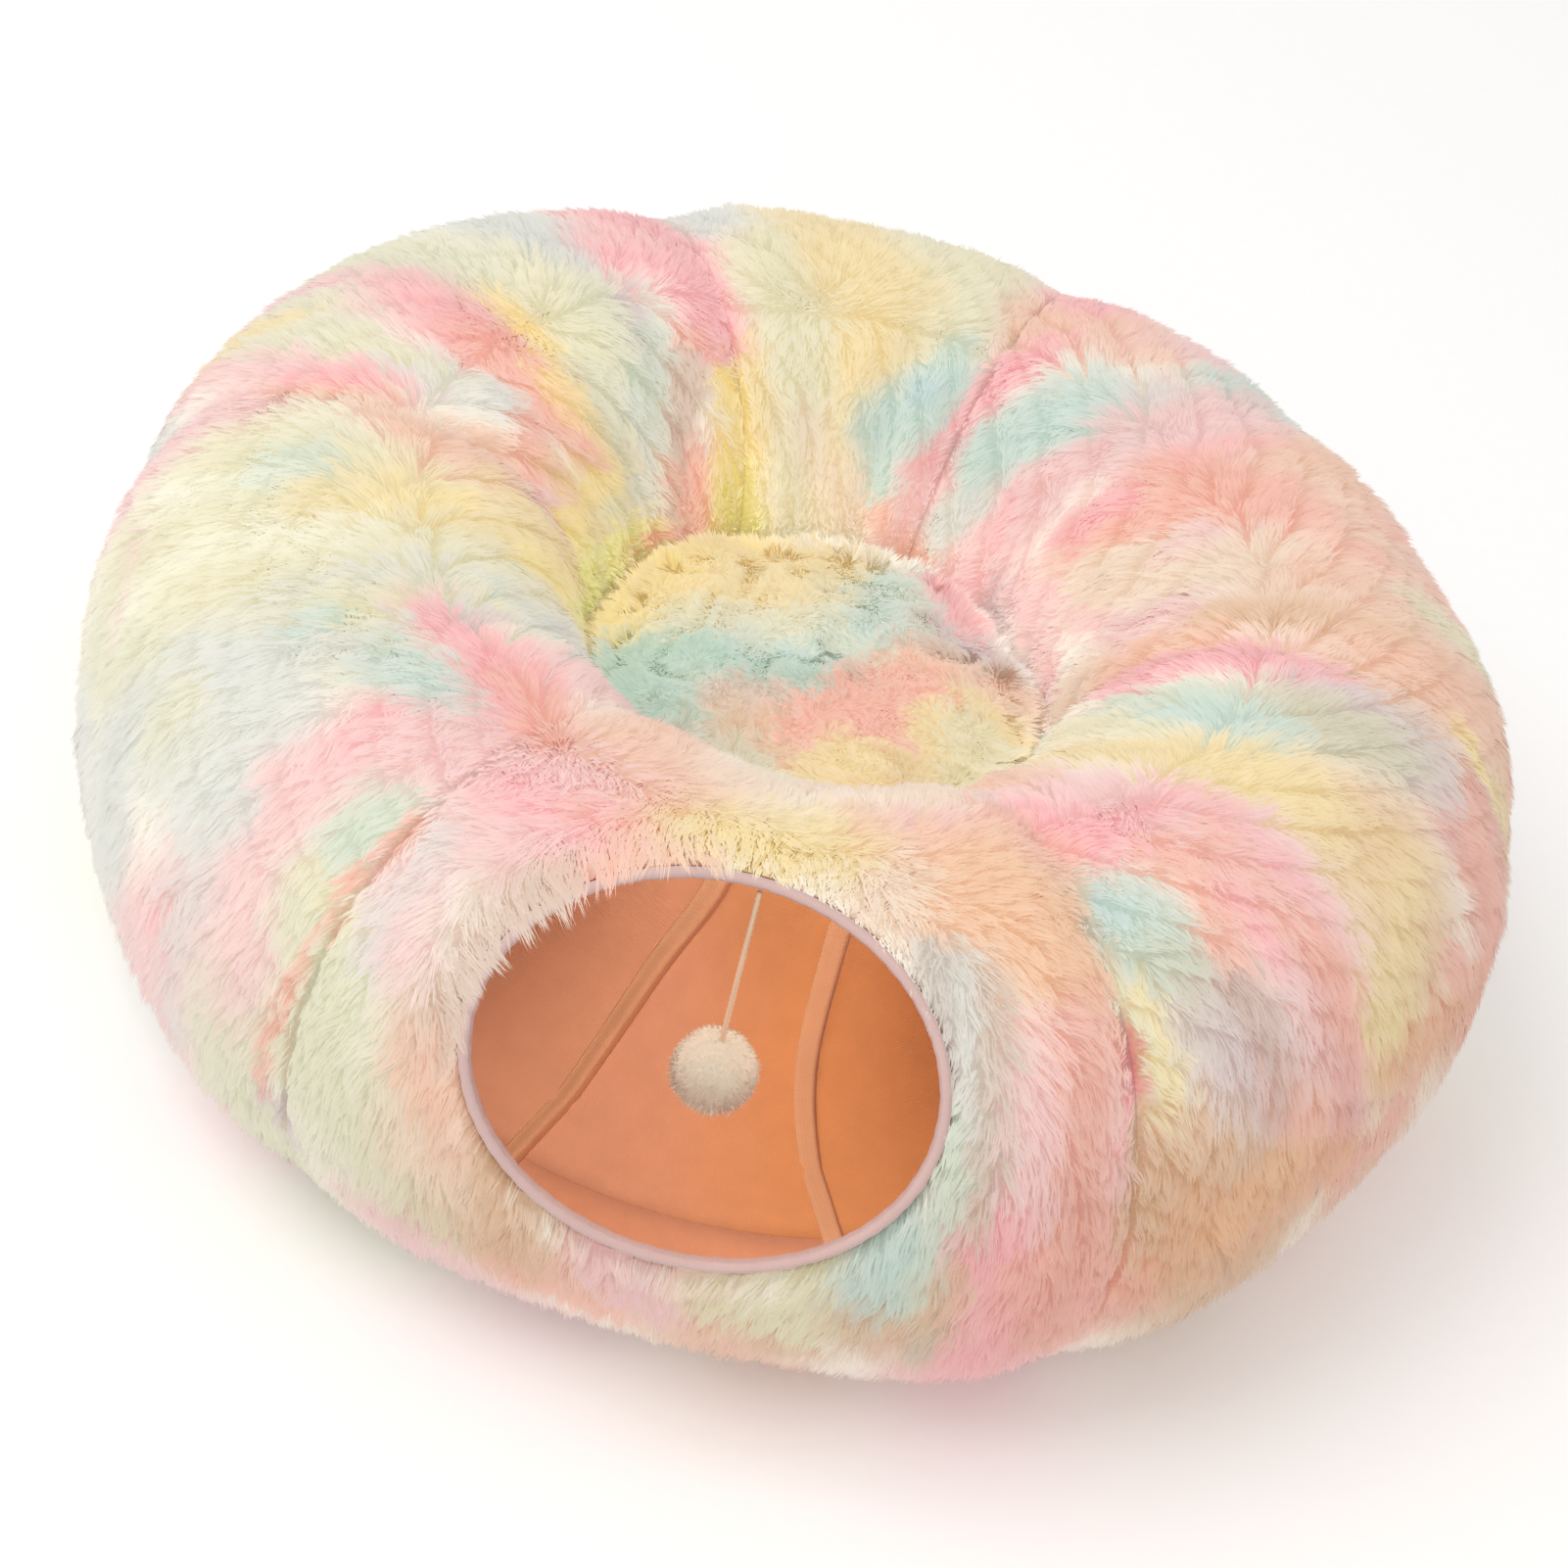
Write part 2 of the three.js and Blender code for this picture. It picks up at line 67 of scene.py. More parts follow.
# Cloth thicknesses and the clearances between the sewn pieces
COVER_THICKNESS = 0.015
LINING_THICKNESS = 0.0015
LINING_CLEARANCE = 0.0018
SEAM_GAP = 0.0007
SEEN_SEAM = 0.0001
FIT_GAP = 0.0004

# Half the gap in degrees where the two edges of a strip all but meet underneath
EDGE_HALF = 0.05

# The opening: an oval cut square to a line that rises from the ring's middle plane
OPENING_HALF_WIDTH = 0.114
OPENING_HALF_HEIGHT = 0.092
OPENING_RISE = math.radians(40)
OPENING_SIDE = -0.004
OPENING_LIFT = -0.062
OPENING_STEPS = 144
CUT_FROM = 0.295
CUT_TO = 0.575
BINDING_WIDTH = 0.006
BINDING_SUNK = 0.0025
BINDING_INSIDE = 0.003
BINDING_SQUARENESS = 0.5

# Places so far behind the cut's start count as outside the opening, by so many ovals
BEHIND_CUT = 0.02
FAR_OUTSIDE = 9.0

# The tuft, with its core, roots and yarn as shares of its radius and the width of its map, and its string
POMPOM_PLACE = Vector((0, -0.278, 0.150))
POMPOM_RADIUS = 0.023
TUFT_CORE_SHARE = 0.72
TUFT_ROOT_SHARE = 0.69
TUFT_YARN_SHARE = 0.4
YARN_WIDTH = 0.0009
TUFT_MAP = 0.05
STRING_DIAMETER = 0.003
STRING_TOP = 0.2704
STRING_LOW = 0.1669
STRING_TWIST = 0.008

# How far the ring's outer side and its crest stand off the plain section, every 30 degrees
BULGE_STEP = 30
REACH = np.array([-5, 10, -4, 1, -7, 2, -2, -2, 3, -4, -3, 7]) / 1000
CREST = np.array([-4, 2, 3, 5, -3, -3, -4, -5, 7, 8, 0, -3]) / 1000

# The plush panels between their seams, anticlockwise from the front
PANELS = (
    ("front", -31, 33),
    ("right", 33, 90),
    ("back_right", 90, 165),
    ("back", 165, 207),
    ("back_left", 207, 268),
    ("left", 268, 329),
)
COVER_STEP = 2
COVER_ROUNDS = 90

# Folds that run over the tunnel: angle, depth, width in degrees, and from where to where round it
FOLDS = (
    (-31, 0.007, 4.5, -60, 235),
    (33, 0.008, 4.5, -60, 235),
    (60, 0.004, 6, 95, 200),
    (90, 0.008, 4.5, -60, 235),
    (108, 0.005, 5, 60, 205),
    (122, 0.004, 5, 85, 205),
    (138, 0.006, 5, 50, 205),
    (152, 0.005, 4.5, 95, 205),
    (165, 0.010, 5, -60, 235),
    (178, 0.006, 4.5, 105, 205),
    (192, 0.003, 5, 70, 200),
    (207, 0.010, 5, -60, 235),
    (222, 0.005, 5, 90, 205),
    (238, 0.006, 5, 70, 205),
    (254, 0.004, 5, 95, 205),
    (268, 0.007, 4.5, -60, 235),
    (288, 0.004, 6, 85, 200),
    (307, 0.005, 5, 100, 205),
)
FOLD_FADE = 25
LUMP_DEPTH = 0.0025
CALM_ACROSS = 30
CALM_ROUND = 60
CALM_MIDDLE = 38

# The pile's backing: its depth under the tips, its share of the folds, its depth where it is pressed flat,
# and how far under the roots of the pile its face lies
PILE_ROOT_DEPTH = 0.0095
BACKING_SHARE = 0.33
PRESSED_DEPTH = 0.0006
COVER_SUNK = 0.0004

# Where the pile grows: between two angles round the tunnel, so far outside the opening and off the floor
PILE_FROM = -74
PILE_TO = 176
PILE_FROM_OPENING = 0.0048
FLOOR_CLEARANCE = 0.0005

# One degree round the tunnel in metres
ROUND_METRES = 0.145 * math.pi / 180

# How many strands are drawn together in a lock, and how many lean alike in a sweep
STRANDS_TO_A_LOCK = 9
STRANDS_TO_A_SWEEP = 90

# Steps that spread any number of places evenly over a square
EVEN_ACROSS = 0.7548776662466927
EVEN_ALONG = 0.5698402909980532

# The noise's table has so many rows and columns
NOISE_ROWS = 64

# The weight of undyed pile in the wash, and painted shade and light: how much deeper and darker the ring
# is low in front as painted shade, and how much paler the hole's wall and the cushion's far edge are as
# painted light
WASH_BASE = 0.05
LOW_SHADE_DEEPER = 0.12
LOW_SHADE_DARKER = 0.05
HOLE_PAINTED_LIGHT = 0.18
FAR_EDGE_PAINTED_LIGHT = 0.06
PALEST_DYE = 0.98

# Which way the front panel's pile is combed: angle, angle round the tunnel, share round the ring, share up
COMBED = (
    (-10, 85, -1.0, -0.25),
    (-20, 60, -0.8, -0.6),
    (-24, 30, -0.4, -0.9),
    (5, 80, 0.0, -1.0),
    (20, 82, 1.0, -0.2),
    (25, 60, 0.8, -0.6),
    (22, 30, 0.3, -0.95),
    (18, 0, -0.3, -0.95),
    (12, -15, -0.4, -0.9),
    (-10, -10, 0.1, -1.0),
)

# Where the pile parts along a seam: angle, from where to where round the tunnel, share of a full parting
PARTINGS = ((-31, 4, 54, 0.2), (33, 28, 55, 0.7))

# By the angle round the opening, how far the pile turns over its edge and its length there in millimetres
RIM_TURNED = (
    (0, 20, 60, 86, 96, 160, 178, 195, 215, 310, 340, 360),
    (0.4, 0.45, 0.5, 0.6, 1, 1, 0.7, 0.3, 0, 0, 0.3, 0.4),
)
RIM_LENGTHS = ((0, 60, 84, 104, 150, 185, 230, 290, 330, 360), (15, 13, 14, 28, 30, 20, 15, 17, 22, 15))

# The cushion's profile: radius and height at its foot and its crown, and between them the angles round the
# tunnel where its waist follows the hole's wall, with a gap
CUSHION_FOOT = ((0.088, 0.0), (0.104, 0.006), (0.112, 0.028), (0.115, 0.062))
CUSHION_WAIST = (195, 180, 165)
CUSHION_GAP = 0.00055
CUSHION_CROWN = ((0.113, 0.194), (0.099, 0.203), (0.076, 0.208), (0.050, 0.210), (0.024, 0.212))
CUSHION_TOP = 0.212
CUSHION_STEPS = 96

# How the cushion's top hangs: its sag, and waves with their height, number, turn by the radius, and place
CUSHION_SAG = 0.003
CUSHION_WAVES = ((0.004, 5, 0, "rim"), (0.0025, 9, 33, "rim"), (0.003, 2, 59, "middle"))

# The cushion's pile: the height it starts at, its room under the crown, its edge, and its map's width
CUSHION_PILE_FROM = 0.168
CUSHION_PILE_ROOM = 0.004
CUSHION_EDGE = (0.096, 0.110)
CUSHION_MAP = 0.26

# The ribs' casings: the angles round the tunnel, and the angles round the ring that they pass there
RIB_CASINGS = (
    (
        "rib_casing_left",
        (90, 150, 165, 173, 181, 191, 201, 210, 228, 245, 285),
        (-6, -6.2, -6.9, -8, -9.8, -13.5, -16.7, -18.5, -20.4, -20.9, -20.6),
    ),
    (
        "rib_casing_right",
        (90, 150, 175, 189, 198, 214, 222, 232, 248, 285),
        (21, 21, 20.4, 19.6, 19, 17.2, 16.7, 16.8, 17.7, 19.3),
    ),
)

# How the casings' corners are eased, their size, how deep they sit in the lining, where they run round the
# tunnel, and the colour of the painted light that their side towards -X takes a share of
PATH_EASE = (-8, -4, 0, 4, 8)
RIB_WIDTH = 0.012
RIB_SEEN_HEIGHT = 0.0042
RIB_EDGE = 0.0008
RIB_SUNK = 0.0005
RIB_FROM = 90
RIB_TO = 285
RIB_PAINTED_LIGHT = (0.94, 0.76, 0.58)
RIB_PAINTED_LIGHT_SHARE = 0.4

# Strokes of dye over the ring, some of them also painted shade and light, in the order they are laid on:
# from one place to another as two pairs of angles, half the stroke's width in millimetres, the dye, and
# how strongly it takes
DYE_STROKES = (
    (-78, 67, -66, 109, 32, "lemon", 0.8),
    (-74, 40, -59, 78, 29, "lemon", 0.7),
    (-74, 83, -73, 108, 18, "yellow", 0.7),
    (-72, 93, -76, 108, 8, "gold", 0.5),
    (-71, 24, -56, 37, 21, "lime", 0.6),
    (-61, 29, -57, -1, 16, "mint", 0.8),
    (-53, 32, -51, 64, 16, "mint", 0.35),
    (-85, 25, -90, 62, 15, "pink", 0.75),
    (-99, 33, -97, 69, 11, "pink", 0.9),
    (-94, 71, -95, 90, 8, "rose", 0.7),
    (-69, 27, -77, 40, 6, "pink", 0.5),
    (-78, 71, -79, 82, 12, "aqua", 0.75),
    (-54, 74, -56, 55, 12, "mint", 0.9),
    (-56, 79, -55, 69, 7, "aqua", 0.8),
    (-51, 76, -54, 103, 7, "mint", 0.5),
    (-85, 103, -89, 116, 14, "peach", 0.85),
    (-86, 98, -87, 92, 8, "peach", 0.6),
    (-60, 111, -56, 114, 5, "aqua", 0.7),
    (-53, 96, -38, 102, 11, "rose", 0.95),
    (-39, 98, -33, 99, 11, "coral", 0.7),
    (-48, 83, -40, 89, 12, "aqua", 0.65),
    (-51, 77, -47, 82, 7, "mint", 0.5),
    (-38, 79, -42, 50, 16, "pink", 0.85),
    (-42, 75, -41, 62, 8, "rose", 0.45),
    (-40, 47, -41, 28, 14, "pink", 0.35),
    (-34, 60, -35, 48, 11, "sky", 0.75),
    (-47, 59, -48, 29, 13, "mint", 0.3),
    (-44, 17, -44, -6, 19, "pink", 0.35),
    (-49, 2, -43, -3, 5, "rose", 0.45),
    (-37, 23, -37, 5, 16, "pink", 0.3),
    (-110, 74, -108, 55, 14, "lime", 0.8),
    (-101, 74, -100, 58, 13, "lime", 0.85),
    (-115, 79, -110, 74, 14, "pink", 0.85),
    (-113, 92, -113, 78, 18, "rose", 0.75),
    (-112, 97, -110, 115, 14, "coral", 0.85),
    (-110, 115, -113, 132, 9, "coral", 0.9),
    (-97, 92, -104, 109, 11, "mint", 0.35),
    (-120, 92, -119, 105, 8, "gold", 0.6),
    (-113, 108, -111, 121, 5, "gold", 0.7),
    (-128, 73, -133, 82, 13, "mint", 0.55),
    (-131, 98, -127, 114, 16, "lime", 0.6),
    (-122, 123, -115, 149, 18, "lime", 0.75),
    (-125, 96, -126, 108, 9, "lemon", 0.7),
    (-103, 115, -95, 123, 7, "coral", 0.7),
    (-93, 130, -85, 138, 7, "pink", 0.7),
    (-89, 144, -83, 156, 7, "yellow", 0.8),
    (-106, 150, -117, 160, 9, "yellow", 0.6),
    (-139, 82, -146, 85, 13, "pink", 0.9),
    (-142, 87, -149, 92, 13, "rose", 0.8),
    (-150, 102, -151, 111, 14, "rose", 1.0),
    (-144, 111, -151, 114, 6, "coral", 0.6),
    (-137, 100, -136, 114, 8, "lilac", 0.6),
    (-138, 109, -127, 132, 11, "sky", 0.75),
    (-128, 125, -123, 152, 9, "mint", 0.5),
    (-143, 115, -134, 156, 7, "greypink", 0.7),
    (-135, 147, -141, 167, 9, "dusty", 0.8),
    (-124, 162, -135, 165, 4, "coral", 0.8),
    (-162, 86, -167, 158, 16, "lemon", 0.9),
    (-151, 124, -152, 161, 7, "gold", 0.95),
    (-149, 160, -155, 164, 6, "orange", 0.9),
    (-174, 116, -176, 107, 16, "yellow", 0.9),
    (-170, 87, -180, 95, 19, "yellow", 0.6),
    (-166, 134, -174, 157, 12, "cream", 0.7),
    (176, 99, 171, 88, 18, "lime", 0.45),
    (180, 133, 169, 114, 14, "aqua", 0.95),
    (175, 122, 173, 118, 7, "blue", 0.9),
    (-180, 136, -184, 149, 6, "aqua", 0.7),
    (160, 92, 164, 114, 8, "rose", 0.9),
    (164, 114, 167, 141, 7, "rose", 0.95),
    (167, 141, 169, 159, 7, "pink", 0.9),
    (174, 156, 163, 164, 7, "dusty", 0.6),
    (166, 88, 151, 76, 16, "peach", 0.8),
    (154, 79, 146, 65, 12, "pink", 0.5),
    (161, 133, 145, 103, 14, "aqua", 0.9),
    (147, 102, 142, 90, 7, "mint", 0.5),
    (161, 154, 154, 142, 8, "mint", 0.7),
    (139, 97, 146, 130, 9, "pink", 0.85),
    (146, 130, 148, 163, 11, "pink", 0.95),
    (148, 135, 147, 149, 5, "rose", 0.5),
    (148, 160, 139, 160, 6, "rose", 0.4),
    (138, 162, 132, 169, 6, "lilac", 0.8),
    (141, 106, 135, 72, 16, "pink", 0.8),
    (131, 105, 119, 93, 14, "coral", 0.95),
    (126, 117, 129, 138, 6, "coral", 0.5),
    (131, 79, 125, 58, 16, "peach", 0.9),
    (121, 92, 117, 83, 8, "coral", 0.5),
    (120, 135, 106, 102, 15, "cream", 0.9),
    (133, 153, 109, 162, 11, "pink", 0.5),
    (115, 144, 104, 135, 8, "pink", 0.4),
    (103, 88, 95, 73, 23, "peach", 0.95),
    (96, 112, 97, 77, 7, "tan", 0.8),
    (90, 141, 86, 111, 7, "rose", 1.0),
    (86, 111, 86, 91, 9, "rose", 1.0),
    (83, 94, 84, 81, 7, "lilac", 0.8),
    (74, 130, 74, 106, 7, "sky", 0.8),
    (70, 113, 73, 94, 8, "aqua", 0.85),
    (76, 91, 81, 70, 14, "greyblue", 0.85),
    (83, 71, 77, 54, 12, "lilac", 0.55),
    (72, 147, 63, 108, 7, "lemon", 0.6),
    (53, 124, 62, 94, 11, "yellow", 0.85),
    (64, 89, 66, 65, 18, "yellow", 0.8),
    (67, 67, 64, 43, 23, "tan", 0.6),
    (66, 55, 59, 30, 18, "yellow", 0.85),
    (90, 56, 88, 41, 6, "gold", 0.85),
    (79, 48, 78, 20, 14, "coral", 0.95),
    (69, 34, 72, 19, 7, "coral", 0.6),
    (63, 3, 58, -2, 11, "coral", 0.7),
    (35, 117, 44, 103, 12, "pink", 0.8),
    (36, 96, 45, 95, 8, "rose", 0.95),
    (47, 97, 55, 82, 14, "pink", 0.95),
    (54, 80, 54, 55, 14, "pink", 0.9),
    (48, 76, 49, 60, 9, "rose", 0.45),
    (54, 55, 55, 26, 9, "coral", 0.7),
    (51, 54, 54, 18, 14, "pink", 0.7),
    (35, 79, 38, 68, 14, "aqua", 1.0),
    (35, 83, 36, 76, 6, "blue", 0.5),
    (38, 68, 41, 53, 14, "greyblue", 0.7),
    (34, 61, 35, 34, 9, "lemon", 0.85),
    (33, 61, 34, 48, 5, "lime", 0.6),
    (41, 53, 45, 33, 18, "lilac", 0.8),
    (45, 35, 50, 19, 13, "dusty", 0.7),
    (35, 24, 45, 11, 24, "tan", 0.8),
    (41, 7, 49, 15, 16, "tanpink", 0.8),
    (34, 15, 39, -2, 16, "tan", 0.8),
    (47, 23, 52, 12, 11, "coral", 0.35),
    (-32, 83, -22, 90, 21, "pink", 0.95),
    (-30, 95, -37, 100, 11, "coral", 0.85),
    (-40, 95, -34, 94, 7, "rose", 0.8),
    (-26, 80, -17, 84, 16, "rose", 0.6),
    (-27, 65, -20, 73, 14, "pink", 0.65),
    (-22, 103, -14, 101, 19, "peach", 0.75),
    (-11, 106, 16, 129, 13, "cream", 0.8),
    (-10, 91, 8, 97, 14, "yellow", 0.75),
    (-6, 92, 1, 92, 8, "gold", 0.3),
    (9, 126, 23, 115, 11, "cream", 0.8),
    (-15, 75, -8, 81, 11, "peach", 0.6),
    (-18, 68, -12, 73, 8, "coral", 0.5),
    (10, 101, 26, 99, 11, "peach", 0.7),
    (13, 104, 23, 104, 6, "pink", 0.6),
    (29, 104, 34, 95, 11, "coral", 0.7),
    (21, 91, 30, 80, 18, "orangepeach", 0.95),
    (21, 80, 30, 63, 16, "orangepeach", 0.85),
    (15, 89, 12, 81, 11, "cream", 0.7),
    (17, 73, 17, 44, 7, "ivory", 0.9),
    (19, 68, 21, 28, 9, "mint", 0.45),
    (18, 34, 20, 20, 9, "sky", 0.6),
    (17, 11, 15, -4, 13, "aqua", 0.75),
    (19, 24, 18, -3, 8, "sky", 0.6),
    (28, 51, 30, 22, 16, "pink", 0.85),
    (31, 62, 32, 46, 7, "coral", 0.6),
    (24, 40, 26, 16, 14, "pink", 0.8),
    (22, 12, 29, -6, 18, "rose", 0.75),
    (28, 7, 35, -7, 14, "coral", 0.6),
    (33, 53, 33, 39, 3, "red", 0.8),
    (33, 39, 31, 26, 3, "rose", 0.8),
    (14, -8, 19, -11, 12, "tan", 0.6),
    (4, -18, 11, -13, 13, "lemon", 0.7),
    (-5, -15, 1, -22, 14, "pink", 0.85),
    (-8, -15, -5, -22, 8, "peach", 0.6),
    (-17, -10, -10, -17, 16, "tan", 0.6),
    (-22, -5, -17, -13, 16, "lime", 0.5),
    (-34, 29, -28, 22, 15, "lime", 0.9),
    (-35, 39, -31, 35, 8, "lemon", 0.7),
    (-30, 7, -24, 0, 21, "lime", 0.55),
    (-28, 53, -26, 36, 12, "pink", 0.5),
    (-21, 25, -17, 2, 11, "peach", 0.5),
    (-21, 2, -17, -2, 14, "cream", 0.8),
    (-33, -9, -31, -14, 7, "lilac", 0.6),
    (-32, 51, -31, 31, 2, "coral", 0.7),
    (-31, 31, -33, 10, 2, "coral", 0.6),
    (28, 52, 29, 10, 15, "dusty", 0.85),
    (26, 6, 30, -14, 18, "dusty", 0.8),
    (53, 62, 55, 34, 10, "dusty", 0.7),
    (40, 99, 52, 96, 8, "rose", 0.6),
    (54, 90, 55, 70, 8, "rose", 0.6),
    (44, 62, 46, 86, 9, "dusty", 0.6),
    # Clay strokes low on the right: a warm dye, made deeper there as painted shade.
    (38, 12, 52, 10, 16, "clay_and_shade", 0.55),
    (36, 0, 46, 2, 16, "clay_and_shade", 0.5),
    (60, 22, 76, 12, 16, "clay_and_shade", 0.45),
    (-20, 28, -18, 66, 12, "greypink", 0.85),
    (82, 132, 87, 100, 8, "rose", 0.85),
    (92, 138, 94, 158, 9, "greypink", 0.6),
    (132, 116, 132, 134, 8, "rose", 0.6),
    (112, 60, 120, 74, 10, "cream", 0.5),
    (-88, 156, -118, 158, 12, "gold", 0.8),
    (-120, 164, -134, 165, 6, "coral", 0.8),
    (-148, 146, -147, 166, 7, "gold", 0.8),
    # Lit-yellow strokes, here and at angle -75: yellow dye made paler on the hole's wall as painted light.
    (-92, 166, -126, 168, 9, "lit_yellow", 0.9),
    (-84, 154, -116, 156, 12, "lit_yellow", 0.8),
    (-86, 140, -112, 138, 13, "gold", 0.75),
    (-116, 140, -115, 112, 8, "gold", 0.6),
    (-100, 134, -98, 122, 8, "orangepeach", 0.4),
    (-84, 140, -84, 112, 9, "yellow", 0.6),
    (-76, 150, -74, 124, 9, "lit_yellow", 0.45),
    (-68, 138, -67, 112, 9, "lemon", 0.5),
    (-124, 140, -124, 132, 7, "yellow", 0.4),
    (-140, 168, -140, 142, 8, "coral", 0.6),
    (-92, 90, -92, 66, 8, "peach", 0.4),
    (-100, 98, -100, 80, 7, "lemon", 0.5),
    (-128, 92, -128, 72, 12, "lemon", 0.35),
    (-140, 89, -139, 83, 6, "rose", 0.5),
    (-68, 90, -71, 30, 14, "milk", 0.45),
    (-77, 76, -79, 44, 10, "milk", 0.5),
    (-60, 118, -61, 74, 9, "mint", 0.45),
    (-60, 70, -60, 16, 13, "mint", 0.4),
    (-52, 109, -51, 101, 7, "lilac", 0.6),
    (-44, 38, -44, -14, 13, "mint", 0.45),
    (-28, 64, -27, 32, 9, "mint", 0.5),
    (-156, 142, -156, 112, 7, "yellow", 0.5),
    (-172, 142, -172, 124, 8, "yellow", 0.4),
    (164, 140, 164, 112, 6, "pink", 0.5),
    (172, 168, 166, 168, 7, "peach", 0.5),
    (172, 110, 172, 102, 6, "aqua", 0.4),
    (68, 109, 68, 95, 6, "aqua", 0.4),
    (68, 70, 69, 60, 8, "yellow", 0.4),
    (76, 58, 77, 30, 9, "brick", 0.5),
    (84, 112, 84, 94, 7, "rose", 0.7),
    (84, 52, 84, 30, 9, "brick", 0.6),
    (92, 142, 92, 112, 10, "peach", 0.8),
    (99, 132, 102, 118, 9, "pink", 0.6),
    (100, 96, 100, 60, 11, "cream", 0.4),
    (116, 119, 116, 104, 7, "pink", 0.6),
    (116, 78, 116, 50, 9, "cream", 0.6),
    (124, 148, 132, 148, 7, "pink", 0.4),
    (124, 119, 124, 86, 8, "coral", 0.55),
    (132, 100, 132, 76, 8, "rose", 0.4),
    (140, 168, 140, 156, 7, "lilac", 0.6),
    (140, 108, 140, 98, 6, "mint", 0.4),
    (140, 80, 141, 58, 9, "pink", 0.7),
    (34, 109, 37, 99, 8, "rose", 0.7),
    (35, 98, 38, 92, 6, "rose", 0.8),
    (43, 88, 52, 87, 8, "coral", 0.7),
    (51, 88, 53, 60, 11, "coral", 0.55),
    (53, 58, 53, 12, 12, "brick", 0.65),
    (43, 58, 46, 30, 10, "mauve", 0.8),
    (35, 62, 35, 34, 6, "yellow", 0.7),
    (35, 32, 36, 18, 8, "tan", 0.5),
    (28, 62, 29, 46, 9, "brick", 0.5),
    (28, 44, 28, 20, 13, "brick", 0.7),
    (28, 14, 28, -12, 13, "brick", 0.45),
    (-14, 4, -12, -8, 9, "tan", 0.55),
    (-12, -22, -3, -28, 9, "dusty", 0.6),
    (4, -24, 12, -24, 9, "tan", 0.4),
    # A clay stroke: warm dye made deeper as painted shade.
    (52, 12, 56, 2, 10, "clay_and_shade", 0.4),
    (21, 66, 21, 14, 6, "greypink", 0.8),
    (20, 6, 20, -8, 8, "tan", 0.6),
    (20, -10, 20, -18, 8, "greyblue", 0.6),
    (11, -2, 12, -8, 7, "lemon", 0.5),
    (-20, 89, -19, 84, 8, "coral", 0.6),
    (-15, 84, -12, 92, 8, "orangepeach", 0.4),
    (-31, 62, -32, 40, 3, "coral", 0.8),
    (-32, 40, -33, -8, 3, "coral", 0.8),
)

# Strokes where the photographed side ends: the outer side behind, low down, and the hole's wall in front
HIDDEN_STROKES = (
    (96, 70, 100, 10, 30, "peach", 0.8),
    (104, 60, 108, -20, 18, "lemon", 0.8),
    (116, 75, 118, 20, 22, "coral", 0.7),
    (118, 10, 122, -50, 26, "pink", 0.7),
    (128, 60, 130, 0, 20, "peach", 0.8),
    (134, 20, 138, -40, 20, "mint", 0.7),
    (142, 70, 144, 15, 18, "aqua", 0.7),
    (148, 60, 152, -10, 16, "pink", 0.8),
    (146, -10, 150, -55, 24, "lilac", 0.6),
    (160, 75, 162, 10, 20, "rose", 0.7),
    (164, 20, 166, -50, 22, "peach", 0.7),
    (176, 80, 178, 0, 26, "lemon", 0.85),
    (178, -10, 182, -60, 26, "lime", 0.7),
    (190, 85, 192, 20, 24, "yellow", 0.8),
    (194, 30, 198, -40, 20, "cream", 0.8),
    (204, 70, 206, 10, 16, "mint", 0.7),
    (212, 80, 214, 20, 22, "rose", 0.85),
    (216, 25, 220, -50, 24, "pink", 0.75),
    (226, 80, 228, 30, 18, "mint", 0.8),
    (230, 40, 232, -30, 18, "lemon", 0.75),
    (240, 78, 242, 10, 22, "lime", 0.8),
    (246, 65, 250, 0, 16, "pink", 0.85),
    (252, 10, 256, -50, 24, "peach", 0.7),
    (256, 60, 258, 20, 14, "yellow", 0.7),
    (264, 20, 268, -50, 26, "mint", 0.6),
    (276, 0, 284, -50, 26, "lemon", 0.6),
    (292, -5, 300, -50, 26, "mint", 0.5),
    (310, -10, 316, -50, 26, "pink", 0.5),
    (322, -5, 330, -50, 24, "lime", 0.5),
    (-20, -25, -8, -60, 22, "pink", 0.5),
    (4, -25, 12, -60, 22, "peach", 0.6),
    (24, -15, 30, -60, 24, "rose", 0.5),
    (44, -10, 50, -60, 26, "tan", 0.7),
    (62, -10, 66, -60, 24, "peach", 0.6),
    (78, 15, 82, -50, 24, "coral", 0.6),
    (90, 30, 92, -40, 18, "yellow", 0.6),
    (-75, 120, -72, 165, 12, "yellow", 0.6),
    (-55, 118, -50, 165, 14, "mint", 0.6),
    (-40, 115, -38, 165, 12, "pink", 0.7),
    (-22, 118, -20, 165, 14, "peach", 0.7),
    (-4, 130, 0, 165, 14, "lemon", 0.7),
    (20, 130, 18, 165, 12, "pink", 0.6),
    (40, 118, 38, 165, 12, "peach", 0.6),
    (56, 130, 54, 165, 12, "yellow", 0.6),
)

